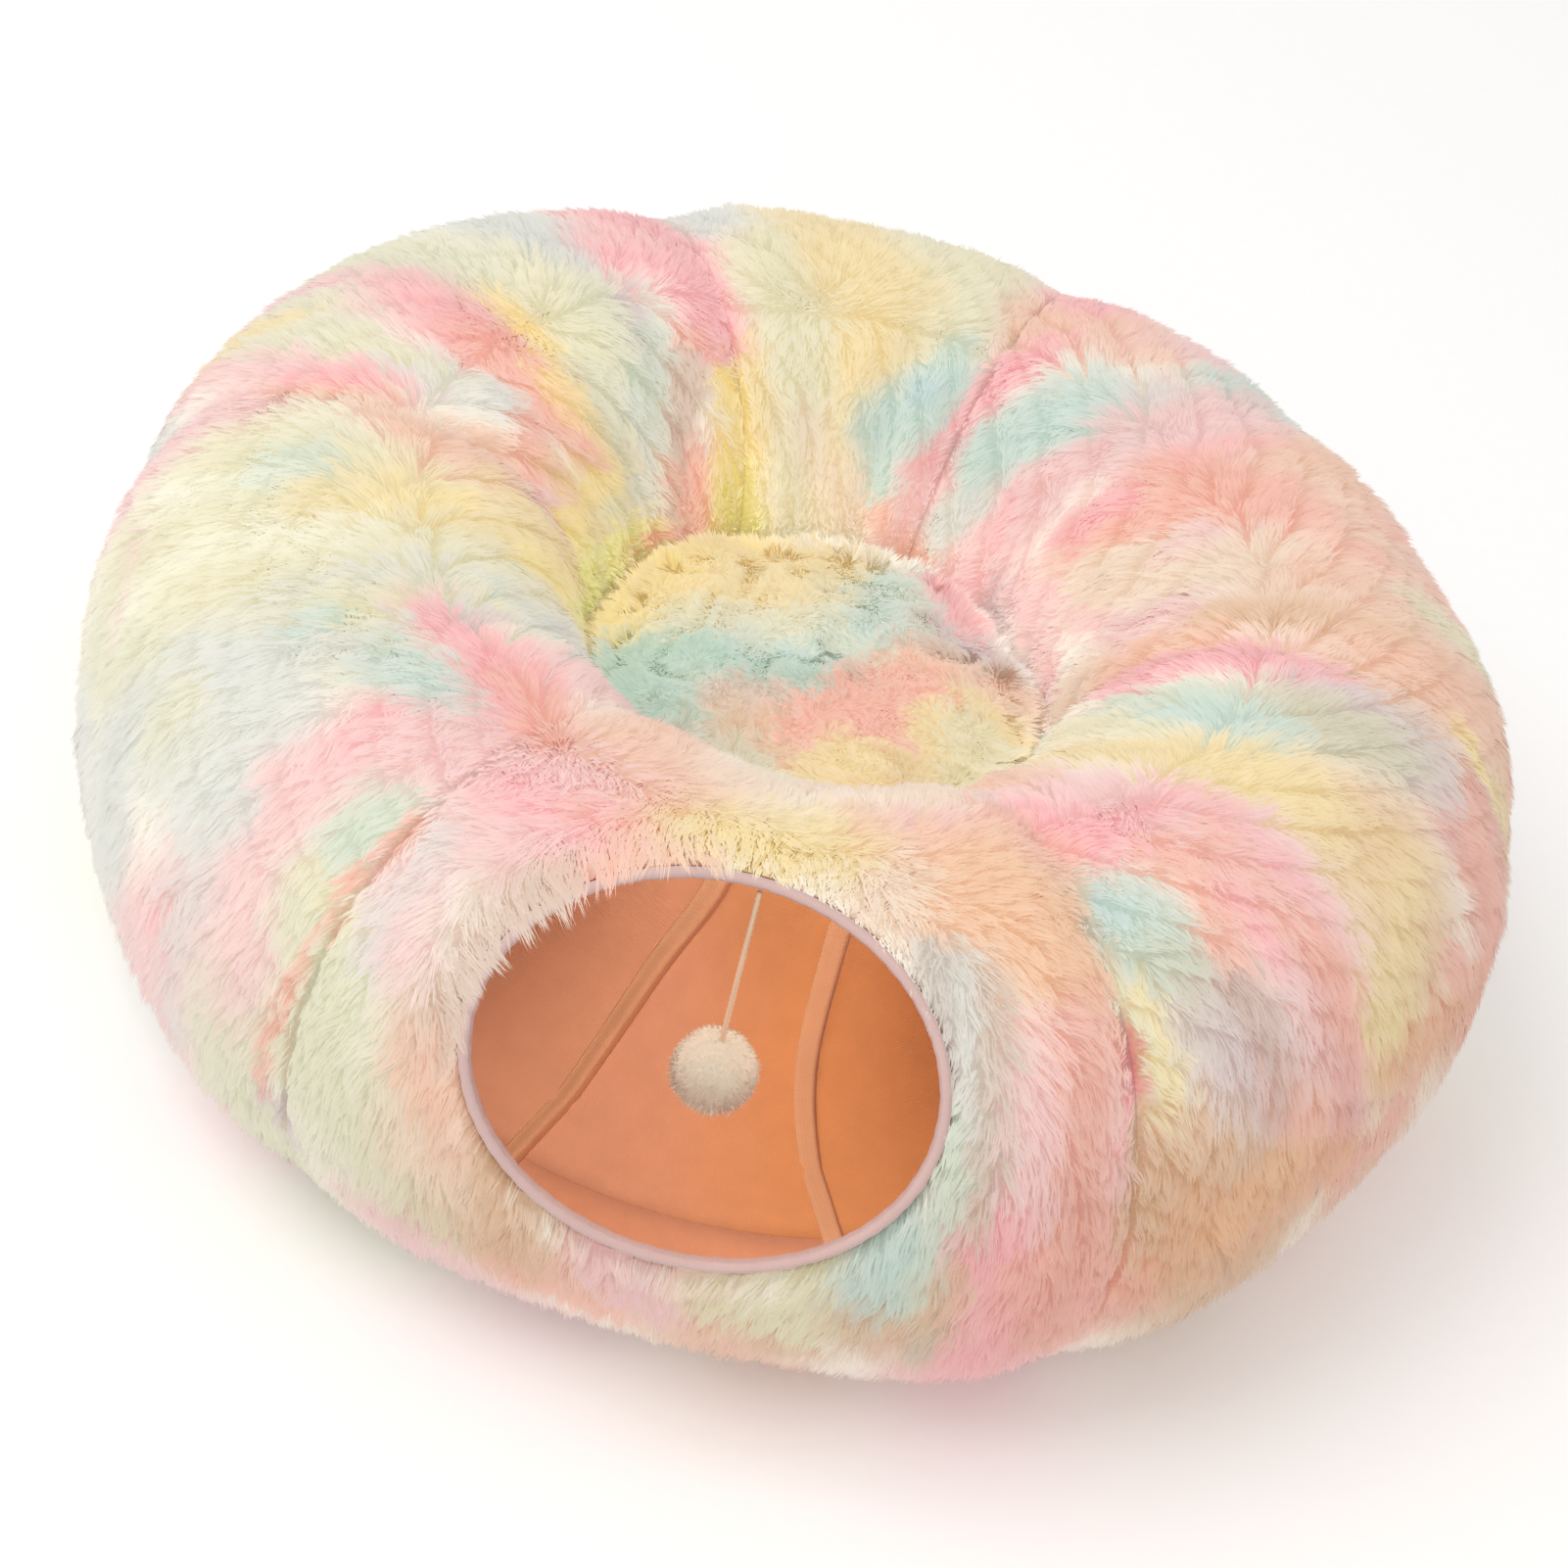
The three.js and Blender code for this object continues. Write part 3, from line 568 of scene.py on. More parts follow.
# Strokes over the cushion's top: from one place to another in the plan and half the width, in millimetres
CUSHION_STROKES = (
    (-110, 6, -96, 50, 16, "gold", 0.8),
    (-84, 62, -50, 90, 13, "gold", 0.75),
    (-88, 32, -14, 60, 20, "yellow", 0.9),
    (-60, 84, 0, 84, 14, "yellow", 0.7),
    (-88, 8, -16, 20, 12, "lime", 0.7),
    (-6, 66, 2, 34, 9, "lime", 0.6),
    (20, 74, 26, 26, 13, "aqua", 0.75),
    (44, 66, 50, 42, 12, "sky", 0.8),
    (56, 62, 84, 44, 13, "lilac", 0.75),
    (58, 88, 70, 74, 9, "rose", 0.6),
    (46, 32, 88, 28, 10, "greypink", 0.7),
    (2, 16, 24, 10, 10, "sky", 0.8),
    (40, 12, 106, 16, 10, "peach", 0.85),
    (-92, -26, -14, -26, 13, "teal", 0.85),
    (-42, -10, 2, -4, 9, "aqua", 0.85),
    (-94, -46, -66, -74, 15, "teal", 0.8),
    (-2, -22, 2, -28, 7, "teal", 0.8),
    (20, -8, 26, -8, 7, "greypink", 0.6),
    (34, -4, 68, -2, 11, "coral", 0.85),
    (20, -27, 46, -27, 12, "coral", 0.9),
    (0, -46, 42, -46, 11, "coral", 0.85),
    (-4, -64, 8, -64, 9, "coral", 0.75),
    (-46, -50, -20, -46, 9, "greypink", 0.75),
    (-46, -68, -16, -68, 11, "tan", 0.4),
    (-68, -88, -30, -88, 11, "greyblue", 0.8),
    (64, -28, 70, -64, 10, "yellow", 0.8),
    (84, -4, 106, -10, 10, "yellow", 0.75),
    (86, -28, 86, -66, 12, "lemon", 0.85),
    (22, -68, 44, -68, 9, "yellow", 0.8),
    (16, -86, 50, -88, 11, "yellow", 0.8),
    (-4, -84, 2, -84, 7, "tan", 0.5),
    (84, 12, 108, 12, 10, "cream", 0.6),
    (-50, -4, -38, -6, 7, "lime", 0.6),
    (-70, -86, -56, -86, 8, "mint", 0.6),
)

# One degree round the ring in millimetres, about halfway from the hole's wall to the ring's middle line
LINING_DEGREE = 3.2

# Painted light: strokes over the lining for the light that comes through the dyed plush: angles, half
# width and shade
LINING_STROKES = (
    (-30, 150, -28, 270, 70, "lining_rose_light", 0.6),
    (-8, 130, 8, 170, 60, "lining_gold_light", 0.7),
    (24, 140, 30, 260, 60, "lining_brown_light", 0.6),
)


def linear(colour):
    """A colour as the shaders hold it, from the one a user picks."""
    values = np.asarray(colour, float)
    return np.where(values <= 0.04045, values / 12.92, ((values + 0.055) / 1.055) ** 2.4)


def ease(value, low, high):
    """A soft step from 0 at low to 1 at high."""
    share = np.clip((value - low) / (high - low), 0, 1)
    return share * share * (3 - 2 * share)


def signed_power(value, power):
    """A power that keeps the sign, for the rounded-square section."""
    return np.sign(value) * np.abs(value) ** power


def turn_from(first, second):
    """The turn from one angle to another in degrees, from -180 to 180."""
    return (first - second + 180) % 360 - 180


def bulge(column, angle):
    """A column of the bulge table at any angle, with soft steps between its rows."""
    place = (angle % 360) / BULGE_STEP
    row = np.floor(place).astype(int) % len(column)
    after = column[(row + 1) % len(column)]
    return column[row] + (after - column[row]) * ease(place - np.floor(place), 0, 1)


def drawn_in(angle, around):
    """How deep the folds and lumps of the plush draw its outer face in."""
    depth = np.zeros_like(angle)
    for place, fold, width, start, end in FOLDS:
        near = np.exp(-((turn_from(angle, place) / width) ** 2))
        along = ease(around, start - FOLD_FADE, start) * (1 - ease(around, end, end + FOLD_FADE))
        depth = np.maximum(depth, fold * near * along)
    turn, about = np.radians(angle), np.radians(around)
    lump = np.sin(8 * turn + 2 * np.sin(2 * about)) * np.sin(5 * about + 3 * turn)
    beside = np.abs(turn_from(angle, 0)) / CALM_ACROSS
    calm = ease(np.hypot(beside, (around - CALM_MIDDLE) / CALM_ROUND), 0.7, 1)
    return (depth + LUMP_DEPTH * calm * (0.5 + 0.5 * lump)) * ease(np.sin(about), -0.95, -0.6)


def wall(angle, around, depth):
    """Points of the tunnel wall at a depth under the plain outer face."""
    about, turn = np.radians(around), np.radians(angle)
    across, upward = np.cos(about), np.sin(about)
    offset = bulge(REACH, angle) * np.maximum(0, across) ** 2 - depth
    offset = offset + bulge(CREST, angle) * np.maximum(0, upward) ** 2
    radius = RING_RADIUS + (TUBE_HALF_WIDTH + offset) * signed_power(across, 2 / TUBE_POWER)
    height = TUBE_MIDDLE + (TUBE_HALF_HEIGHT + offset) * signed_power(upward, 2 / TUBE_POWER)
    return np.stack([radius * np.sin(turn), -radius * np.cos(turn), np.maximum(height, depth)], 1)


def face(angle, around, depth):
    """Points at a depth under the plush's own outer face, with its folds."""
    return wall(angle, around, depth + drawn_in(angle, around))


def unit(vectors):
    """The same directions, each one long."""
    return vectors / np.maximum(np.linalg.norm(vectors, axis=1, keepdims=True), 1e-12)


def backing(angle, around, sunk=0.0):
    """Points of the plush's backing, which the folds draw in less than the tips of the pile."""
    depth = PILE_ROOT_DEPTH + BACKING_SHARE * drawn_in(angle, around)
    underneath = ease(-np.sin(np.radians(around)), 0.961, 0.985)
    return wall(angle, around, sunk + depth + underneath * (PRESSED_DEPTH - depth))


def face_frame(angle, around):
    """The outward direction of the plush's face, and its directions round the ring and the tunnel."""
    step = 0.6
    along = unit(face(angle + step, around, 0) - face(angle - step, around, 0))
    about = unit(face(angle, around + step, 0) - face(angle, around - step, 0))
    return unit(np.cross(along, about)), along, about


def place_on_ring(points):
    """The two angles of points near the tunnel wall."""
    angle = np.degrees(np.arctan2(points[:, 0], -points[:, 1]))
    outward = (np.hypot(points[:, 0], points[:, 1]) - RING_RADIUS) / TUBE_HALF_WIDTH
    upward = (points[:, 2] - TUBE_MIDDLE) / TUBE_HALF_HEIGHT
    half = TUBE_POWER / 2
    around = np.degrees(np.arctan2(signed_power(upward, half), signed_power(outward, half)))
    return angle, (around + 90) % 360 - 90


# The opening's own directions: sideways, up its face and out along its line
OPENING_ACROSS = np.array([1.0, 0.0, 0.0])
OPENING_UP = np.array([0.0, math.sin(OPENING_RISE), math.cos(OPENING_RISE)])
OPENING_OUT = np.array([0.0, -math.cos(OPENING_RISE), math.sin(OPENING_RISE)])


def opening_point(across, up, out):
    """Points beside the opening's line, out along it by a distance from the ring's middle."""
    sideways = np.outer(OPENING_SIDE + across, OPENING_ACROSS)
    return sideways + np.outer(OPENING_LIFT + up, OPENING_UP) + np.outer(out, OPENING_OUT)


# The point in front of the opening's lower edge that the pile round it leans to
OPENING_POINT_DOWN = opening_point(np.array([0.01]), np.array([-0.12]), np.array([0.40]))


def wall_distance(across, up, depth):
    """How far out along the opening's line a layer of the front wall lies."""
    inner = np.full(len(across), RING_RADIUS + TUBE_HALF_WIDTH / 3)
    outer = np.full(len(across), RING_RADIUS + 2 * TUBE_HALF_WIDTH)
    for _ in range(16):
        middle = (inner + outer) / 2
        points = opening_point(across, up, middle)
        angle, around = place_on_ring(points)
        layer = wall(angle, around, depth)
        within = np.hypot(np.hypot(points[:, 0], points[:, 1]) - RING_RADIUS, points[:, 2] - TUBE_MIDDLE)
        reach = np.hypot(np.hypot(layer[:, 0], layer[:, 1]) - RING_RADIUS, layer[:, 2] - TUBE_MIDDLE)
        inside = within < reach
        inner, outer = np.where(inside, middle, inner), np.where(inside, outer, middle)
    return inner


def beside_opening(points):
    """Where points lie by the opening: how many ovals out from its middle, and the angle round it."""
    across = points @ OPENING_ACROSS - OPENING_SIDE
    up = points @ OPENING_UP - OPENING_LIFT
    share = np.hypot(across / OPENING_HALF_WIDTH, up / OPENING_HALF_HEIGHT)
    share = np.where(points @ OPENING_OUT > CUT_FROM - BEHIND_CUT, share, FAR_OUTSIDE)
    turn = np.degrees(np.arctan2(up / OPENING_HALF_HEIGHT, across / OPENING_HALF_WIDTH)) % 360
    return share, turn


def drift(first, second, seed):
    """Smooth noise from -1 to 1 over two numbers, the same on each run."""
    table = np.random.default_rng(seed).uniform(-1, 1, (NOISE_ROWS, NOISE_ROWS))
    row, column = np.floor(first).astype(int), np.floor(second).astype(int)
    down, side = ease(first - row, 0, 1), ease(second - column, 0, 1)
    below, beside = (row + 1) % NOISE_ROWS, (column + 1) % NOISE_ROWS
    row, column = row % NOISE_ROWS, column % NOISE_ROWS
    near = table[row, column] * (1 - down) + table[below, column] * down
    far = table[row, beside] * (1 - down) + table[below, beside] * down
    return near * (1 - side) + far * side


def stroke_wash(strokes, place, tints, base, frayed):
    """The colour at places, dye on the pile and painted light on the lining: a soft wash of every stroke,
    with each stroke's middle laid over it.

    place gives how far each point is from a stroke's start, and how far its end is.
    """
    wash = np.outer(np.full(len(frayed), WASH_BASE), linear(base))
    total = np.full(len(frayed), WASH_BASE)
    middles = []
    for *ends, half, tint, strength in strokes:
        x, y, dx, dy = place(*ends)
        share = np.clip((x * dx + y * dy) / max(dx * dx + dy * dy, 1e-6), 0, 1)
        off = np.hypot(x - share * dx, y - share * dy) / half + frayed
        weight = strength * (np.exp(-0.7 * np.maximum(off, 0) ** 2) + 0.012 / (1 + off * off))
        wash += weight[:, None] * tints[tint]
        total += weight
        middles.append((strength * (1 - ease(off, 0.3, 1.5)), tints[tint]))
    colour = wash / total[:, None]
    for weight, tint in middles:
        colour += 0.75 * weight[:, None] * (tint - colour)
    return colour


def ring_dye_and_light(angle, around, tints, base):
    """The dye at places on the ring, frayed along the lie of the pile, with painted shade low on the front
    and the right and painted light on the hole's wall.
    """
    radius = 1000 * (RING_RADIUS + TUBE_HALF_WIDTH * np.cos(np.radians(around)))
    frayed = 0.16 * drift(angle * 0.4, around * 0.08, 3) + 0.07 * drift(angle * 1.4, around * 0.25, 4)

    def place(first, first_round, second, second_round):
        middle = math.radians((first_round + second_round) / 2)
        stroke_radius = 1000 * (RING_RADIUS + TUBE_HALF_WIDTH * math.cos(middle))
        x = np.radians(turn_from(angle, first)) * radius
        y = (around - first_round) * ROUND_METRES * 1000
        dx = math.radians(turn_from(second, first)) * stroke_radius
        dy = (second_round - first_round) * ROUND_METRES * 1000
        return x, y, dx, dy

    colours = stroke_wash(HIDDEN_STROKES + DYE_STROKES, place, tints, base, frayed)
    # Painted shade: the pile deeper and darker low on the front and the right. Painted light: paler on the
    # hole's wall.
    turn = turn_from(angle, 0)
    low = ease(around, -34, -14) * (1 - ease(around, 5, 40))
    low = low * ease(turn, -50, -15) * (1 - ease(turn, 95, 130))
    painted_light_and_shade = 1 + HOLE_PAINTED_LIGHT * ease(around, 132, 158) - LOW_SHADE_DARKER * low
    return np.clip(colours ** (1 + LOW_SHADE_DEEPER * low[:, None]) * painted_light_and_shade[:, None], 0, PALEST_DYE)


def cushion_dye_and_light(points, tints, base):
    """The dye at places on the cushion, by its plan, with painted light that makes its far edge paler."""
    x, y = points[:, 0] * 1000, points[:, 1] * 1000
    frayed = 0.35 * drift(x * 0.08, y * 0.08, 5) + 0.3 * drift(x * 0.3, y * 0.3, 6)

    def place(first, first_up, second, second_up):
        return x - first, y - first_up, second - first, second_up - first_up

    colours = stroke_wash(CUSHION_STROKES, place, tints, base, frayed)
    # Painted light: the cushion's far edge made paler.
    back = ease(np.hypot(x, y), 84, 108) * ease(x + y, -20, 60)
    return np.clip(colours * (1 + FAR_EDGE_PAINTED_LIGHT * back[:, None]), 0, PALEST_DYE)


def corners(mesh):
    """The points of a mesh as rows of numbers."""
    points = np.empty(len(mesh.vertices) * 3, np.float32)
    mesh.vertices.foreach_get("co", points)
    return points.reshape(-1, 3).astype(float)


def put_corners(mesh, points):
    """Moves every point of a mesh."""
    mesh.vertices.foreach_set("co", np.asarray(points, np.float32).ravel())
    mesh.update()


def outward_ways(mesh):
    """The outward direction at every point of a mesh."""
    ways = np.empty(len(mesh.vertices) * 3, np.float32)
    mesh.vertex_normals.foreach_get("vector", ways)
    return ways.reshape(-1, 3)


def paint(mesh, colours):
    """Writes linear colours on the points of a mesh, as its dye and its painted light and shade."""
    rows = np.ones((len(colours), 4), np.float32)
    rows[:, :3] = colours
    layer = mesh.attributes.new("dye", "FLOAT_COLOR", "POINT")
    layer.data.foreach_set("color", rows.ravel())


def chart(mesh, name, places):
    """Gives a mesh a UV map from a place for each of its points."""
    layer = mesh.uv_layers.new(name=name)
    index = np.empty(len(mesh.loops), np.int32)
    mesh.loops.foreach_get("vertex_index", index)
    layer.uv.foreach_set("vector", np.asarray(places, np.float32)[index].ravel())


def piece(name, mesh, material):
    """A finished piece: its object at the origin, riding on the bed."""
    obj = bpy.data.objects.new(name, mesh)
    bpy.context.scene.collection.objects.link(obj)
    mesh.materials.append(material)
    mesh.shade_smooth()
    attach(obj, "root")
    return obj


def pile_on(carrier, name, mesh, material):
    """Pile on the piece that carries it. It casts no shadow and is left out of the bounced light."""
    pile = bpy.data.objects.new(name, mesh)
    bpy.context.scene.collection.objects.link(pile)
    mesh.materials.append(material)
    mesh.shade_smooth()
    pile.parent = carrier
    pile.visible_shadow = False
    pile.visible_diffuse = False


def mesh_from(bm, name):
    """A new mesh from a bmesh, which is freed."""
    mesh = bpy.data.meshes.new(name)
    bm.to_mesh(mesh)
    bm.free()
    return mesh


def sheet_mesh(name, columns, rows):
    """A flat sheet one metre each way, in a grid of quads, as a mesh."""
    bm = bmesh.new()
    bmesh.ops.create_grid(bm, x_segments=columns, y_segments=rows, size=0.5)
    return mesh_from(bm, name)


def slab_mesh(name, columns, rows):
    """A flat slab one metre each way, in a grid of quads on both faces, as a mesh."""
    bm = bmesh.new()
    bmesh.ops.create_grid(bm, x_segments=columns, y_segments=rows, size=0.5)
    bmesh.ops.solidify(bm, geom=bm.faces[:], thickness=1.0)
    low = min(v.co.z for v in bm.verts)
    bmesh.ops.translate(bm, verts=bm.verts[:], vec=(0, 0, -0.5 - low))
    bmesh.ops.recalc_face_normals(bm, faces=bm.faces[:])
    return mesh_from(bm, name)


def wall_strip(name, first, last, columns, rows, outer, inner, seam_gap=SEAM_GAP):
    """A strip of wall between two seams, wrapped round the tunnel to meet itself underneath."""
    mesh = slab_mesh(name, columns, rows)
    points = corners(mesh)
    seam = math.degrees(seam_gap / 2 / RING_RADIUS)
    angle = first + seam + (points[:, 0] + 0.5) * (last - first - 2 * seam)
    around = -90 + EDGE_HALF + (points[:, 1] + 0.5) * (360 - 2 * EDGE_HALF)
    out = points[:, 2] > 0
    put_corners(mesh, np.where(out[:, None], outer(angle, around), inner(angle, around)))
    turn_out(mesh)
    return mesh


def face_out(bm, mesh):
    """Points the faces of a closed bmesh outwards and writes it to its mesh."""
    bmesh.ops.recalc_face_normals(bm, faces=bm.faces[:])
    if bm.calc_volume(signed=True) < 0:
        bmesh.ops.reverse_faces(bm, faces=bm.faces[:])
    bm.to_mesh(mesh)
    bm.free()


def turn_out(mesh):
    """Points the faces of a closed mesh outwards."""
    bm = bmesh.new()
    bm.from_mesh(mesh)
    face_out(bm, mesh)


def opening_cutter():
    """The oval bar that cuts the opening through the front wall."""
    bm = bmesh.new()
    bmesh.ops.create_cone(bm, cap_ends=True, segments=OPENING_STEPS, radius1=1, radius2=1, depth=1)
    mesh = mesh_from(bm, "opening_cutter")
    points = corners(mesh)
    across = points[:, 0] * (OPENING_HALF_WIDTH + BINDING_WIDTH + FIT_GAP)
    up = points[:, 1] * (OPENING_HALF_HEIGHT + BINDING_WIDTH + FIT_GAP)
    put_corners(mesh, opening_point(across, up, CUT_FROM + (points[:, 2] + 0.5) * (CUT_TO - CUT_FROM)))
    turn_out(mesh)
    bar = bpy.data.objects.new("opening_cutter", mesh)
    bpy.context.scene.collection.objects.link(bar)
    return bar


def cut_opening(mesh):
    """A mesh with the opening cut through it."""
    bar = opening_cutter()
    whole = bpy.data.objects.new(mesh.name + "_whole", mesh)
    bpy.context.scene.collection.objects.link(whole)
    cut = whole.modifiers.new("opening", "BOOLEAN")
    cut.operation, cut.solver, cut.object = "DIFFERENCE", "EXACT", bar
    bpy.context.view_layer.update()
    found = bpy.data.meshes.new_from_object(whole.evaluated_get(bpy.context.evaluated_depsgraph_get()))
    found.materials.clear()
    for used in (whole, bar):
        bpy.data.objects.remove(used)
    return found


# Strands of pile

def one_strand():
    """A flat strand, pointed at both ends: each point's place across and along it, and its faces."""
    bm = bmesh.new()
    bmesh.ops.create_grid(bm, x_segments=1, y_segments=2, size=0.5)
    for end in (-0.5, 0.5):
        bmesh.ops.pointmerge(bm, verts=[v for v in bm.verts if v.co.y * end > 0.2], merge_co=(0, end, 0))
    bm.verts.index_update()
    across = np.array([v.co.x for v in bm.verts])
    along = np.array([v.co.y + 0.5 for v in bm.verts])
    faces = [[v.index for v in f.verts] for f in bm.faces]
    bm.free()
    return across, along, faces


def nearest(points, every):
    """The nearest of every so many points, for each point."""
    middles = points[::every]
    tree = KDTree(len(middles))
    for index, point in enumerate(middles.tolist()):
        tree.insert(point, index * every)
    tree.balance()
    return np.array([tree.find(point)[1] for point in points.tolist()])


def grow(roots, normals, lays, length, width, rise, lock, pull, droop, seed):
    """Leans a strand from each root the way the pile lies and draws the tips of a lock together.

    Gives the strands' points, their directions for shading, and each root's lock.
    """
    across, along, _ = STRAND
    chance = np.random.default_rng(seed).uniform(-1, 1, (len(roots), 8))
    near, far = nearest(roots, lock), nearest(roots, lock * STRANDS_TO_A_SWEEP // STRANDS_TO_A_LOCK)
    own = 0.5 * chance + 0.5 * chance[near]
    turn = np.radians(24 * own[:, :1] + 14 * chance[far][:, :1])
    lays = unit(lays * np.cos(turn) + np.cross(normals, lays) * np.sin(turn))
    low = np.radians(rise[0] + 12 * own[:, 1:2])
    high = np.radians(rise[1] + 13 * own[:, 2:3])
    long = (length * (1 + 0.2 * own[:, 3]))[:, None]
    middle = roots + 0.45 * long * (np.cos(low) * normals + np.sin(low) * lays)
    tip = middle + 0.55 * long * (np.cos(high) * normals + np.sin(high) * lays)
    tip[:, 2] -= droop * long[:, 0]
    for index, share in ((near, pull), (far, pull / 3)):
        middle = middle + 0.4 * share * (middle[index] - middle)
        tip = tip + share * (tip[index] - tip)
    lean = unit(tip - roots)
    side = unit(np.cross(lean, normals))
    roll = np.radians(40 * chance[:, 4:5])
    side = unit(side * np.cos(roll) + np.cross(lean, side) * np.sin(roll))
    flat = unit(np.cross(side, lean))
    flat *= np.sign(np.sum(flat * normals, axis=1, keepdims=True))
    middle = middle + side * long * 0.05 * chance[:, 5:6]
    outward = 0.85 * ease(np.sum(flat * normals, axis=1, keepdims=True), 0.1, 0.6) * normals
    points = np.empty((len(roots), len(across), 3))
    shading = np.empty_like(points)
    for index, (u, v) in enumerate(zip(across, along)):
        spine = roots if v < 0.25 else middle if v < 0.75 else tip
        points[:, index] = spine + side * u * width
        shading[:, index] = unit(outward + 0.25 * flat + 0.2 * u * side)
    points[..., 2] = np.maximum(points[..., 2], FLOOR_CLEARANCE)
    return points, shading, near


def strand_mesh(name, points, shading, colours, places):
    """Every strand as one mesh, with its dye, its shading directions and its UV maps."""
    across, along, faces = STRAND
    count, corner_count = len(points), len(across)
    mesh = bpy.data.meshes.new(name)
    mesh.vertices.add(count * corner_count)
    mesh.vertices.foreach_set("co", points.astype(np.float32).ravel())
    pattern = np.array([corner for way in faces for corner in way])
    sizes = np.array([len(way) for way in faces])
    loops = (np.arange(count)[:, None] * corner_count + pattern).ravel()
    starts = np.concatenate([[0], np.cumsum(sizes)[:-1]])
    mesh.loops.add(len(loops))
    mesh.loops.foreach_set("vertex_index", loops.astype(np.int32))
    mesh.polygons.add(count * len(faces))
    first = (np.arange(count)[:, None] * len(pattern) + starts).ravel()
    mesh.polygons.foreach_set("loop_start", first.astype(np.int32))
    mesh.update(calc_edges=True)
    layer = mesh.attributes.new("custom_normal", "FLOAT_VECTOR", "POINT")
    layer.data.foreach_set("vector", shading.astype(np.float32).ravel())
    paint(mesh, colours.reshape(-1, 3))
    shift = np.random.default_rng(count).uniform(0, 40, (count, 1))
    own = np.stack([across + 0.5 + shift, np.broadcast_to(along, (count, corner_count)) + shift], 2)
    chart(mesh, "Strand", own.reshape(-1, 2))
    chart(mesh, "OFBake", places.reshape(-1, 2))
    return mesh


def strand_colours(dye, seed, near, uneven=1.0):
    """A strand's colours: deeper at its root as painted shade, its dye in the middle and paler at its tip
    as painted light.
    """
    _, along, _ = STRAND
    chance = np.random.default_rng(seed).uniform(-1, 1, len(dye))
    shade = 1 + uneven * (0.025 * chance + 0.02 * chance[near])
    colours = np.empty((len(dye), len(along), 3))
    for index, v in enumerate(along):
        # Painted shade deepens the root and painted light makes the tip paler.
        depth = 1.2 if v < 0.25 else 1.0 if v < 0.75 else 0.85
        tone = dye ** depth
        tone = tone + (0.06 * (1 - tone) if v > 0.75 else 0)
        colours[:, index] = tone * shade[:, None]
    return np.clip(colours, 0, 1)


STRAND = one_strand()


def pile_places(first, last, spacing, seed):
    """Even places over a panel's pile, by the angle round the ring and the angle round the tunnel."""
    around = np.linspace(PILE_FROM, PILE_TO, 400)
    line = wall(np.full(400, (first + last) / 2.0), around, PILE_ROOT_DEPTH)
    radius = np.hypot(line[:, 0], line[:, 1])
    steps = np.linalg.norm(np.diff(line, axis=0), axis=1) * (radius[1:] + radius[:-1]) / 2
    area = np.concatenate([[0], np.cumsum(steps)])
    count = int(area[-1] * math.radians(last - first) / spacing**2)
    index = np.arange(count)
    across = (0.5 + index * EVEN_ACROSS) % 1
    along = (0.5 + index * EVEN_ALONG) % 1
    chance = np.random.default_rng(seed).uniform(-0.5, 0.5, (count, 2)) * spacing
    round_tube = np.interp(along * area[-1], area, around) + chance[:, 0] / ROUND_METRES
    own_radius = RING_RADIUS + TUBE_HALF_WIDTH * np.cos(np.radians(round_tube))
    turn = first + 0.2 + across * (last - first - 0.4) + np.degrees(chance[:, 1] / own_radius)
    return np.clip(turn, first + 0.15, last - 0.15), np.clip(round_tube, PILE_FROM, PILE_TO)


def combed(angle, around):
    """How the pile lies: its share round the ring, its share round the tunnel, and how upright it is."""
    turn = np.pi * ease(around, 74, 120)
    way = np.tanh(4 * drift(angle * 0.045 + 5, around * 0.02, 7))
    across = way * np.sin(turn) + 0.3 * drift(angle * 0.09 + 7, around * 0.03 + 3, 8)
    up = -np.cos(turn)
    total = np.full_like(angle, 0.25)
    guided_across, guided_up = 0.25 * across, 0.25 * up
    for place, place_round, share_across, share_up in COMBED:
        near = np.exp(-((turn_from(angle, place) / 8) ** 2) - ((around - place_round) / 18) ** 2)
        total += near
        guided_across = guided_across + near * share_across
        guided_up = guided_up + near * share_up
    guided = (1 - ease(np.abs(turn_from(angle, 0)), 27, 33)) * (1 - ease(around, 88, 98))
    across = across + guided * (guided_across / total - across)
    up = up + guided * (guided_up / total - up)
    for place, start, end, open_share in PARTINGS:
        off = turn_from(angle, place)
        span = ease(around, start - 6, start) * (1 - ease(around, end, end + 6))
        across = across + open_share * np.sign(off) * np.exp(-((off / 2.2) ** 2)) * span
    upright = 0.3 * np.exp(-(((around - 97) / 14) ** 2))
    return across, up, upright


def over_the_rim(roots, normals, lays):
    """Turns the pile over the opening's upper edge, where it hangs in front of the binding."""
    share, turn = beside_opening(roots)
    inward = OPENING_POINT_DOWN - roots
    weight = (1 - ease(share, 1.14, 1.34)) * np.interp(turn, *RIM_TURNED)
    lays = lays + weight[:, None] * (1.6 * unit(inward) - lays)
    return unit(lays - np.sum(lays * normals, axis=1, keepdims=True) * normals), weight


def pile_lengths(angle, around, points, length):
    """How long the pile is: short by the crest's inner side, long where it hangs over the opening."""
    long = length * (1 - 0.15 * ease(around, 100, 130)) * (1 - 50 * drawn_in(angle, around))
    share, turn = beside_opening(points)
    rim = np.interp(turn, *RIM_LENGTHS)
    near = 1 - ease(share, 1.1, 1.45)
    long = long + near * (rim / 1000 - long)
    for place, start, end, open_share in PARTINGS:
        off = np.abs(turn_from(angle, place))
        span = ease(around, start - 4, start) * (1 - ease(around, end, end + 4))
        long = long * (1 - 0.5 * open_share * span * (1 - ease(off, 0.2, 1.6)))
    return long


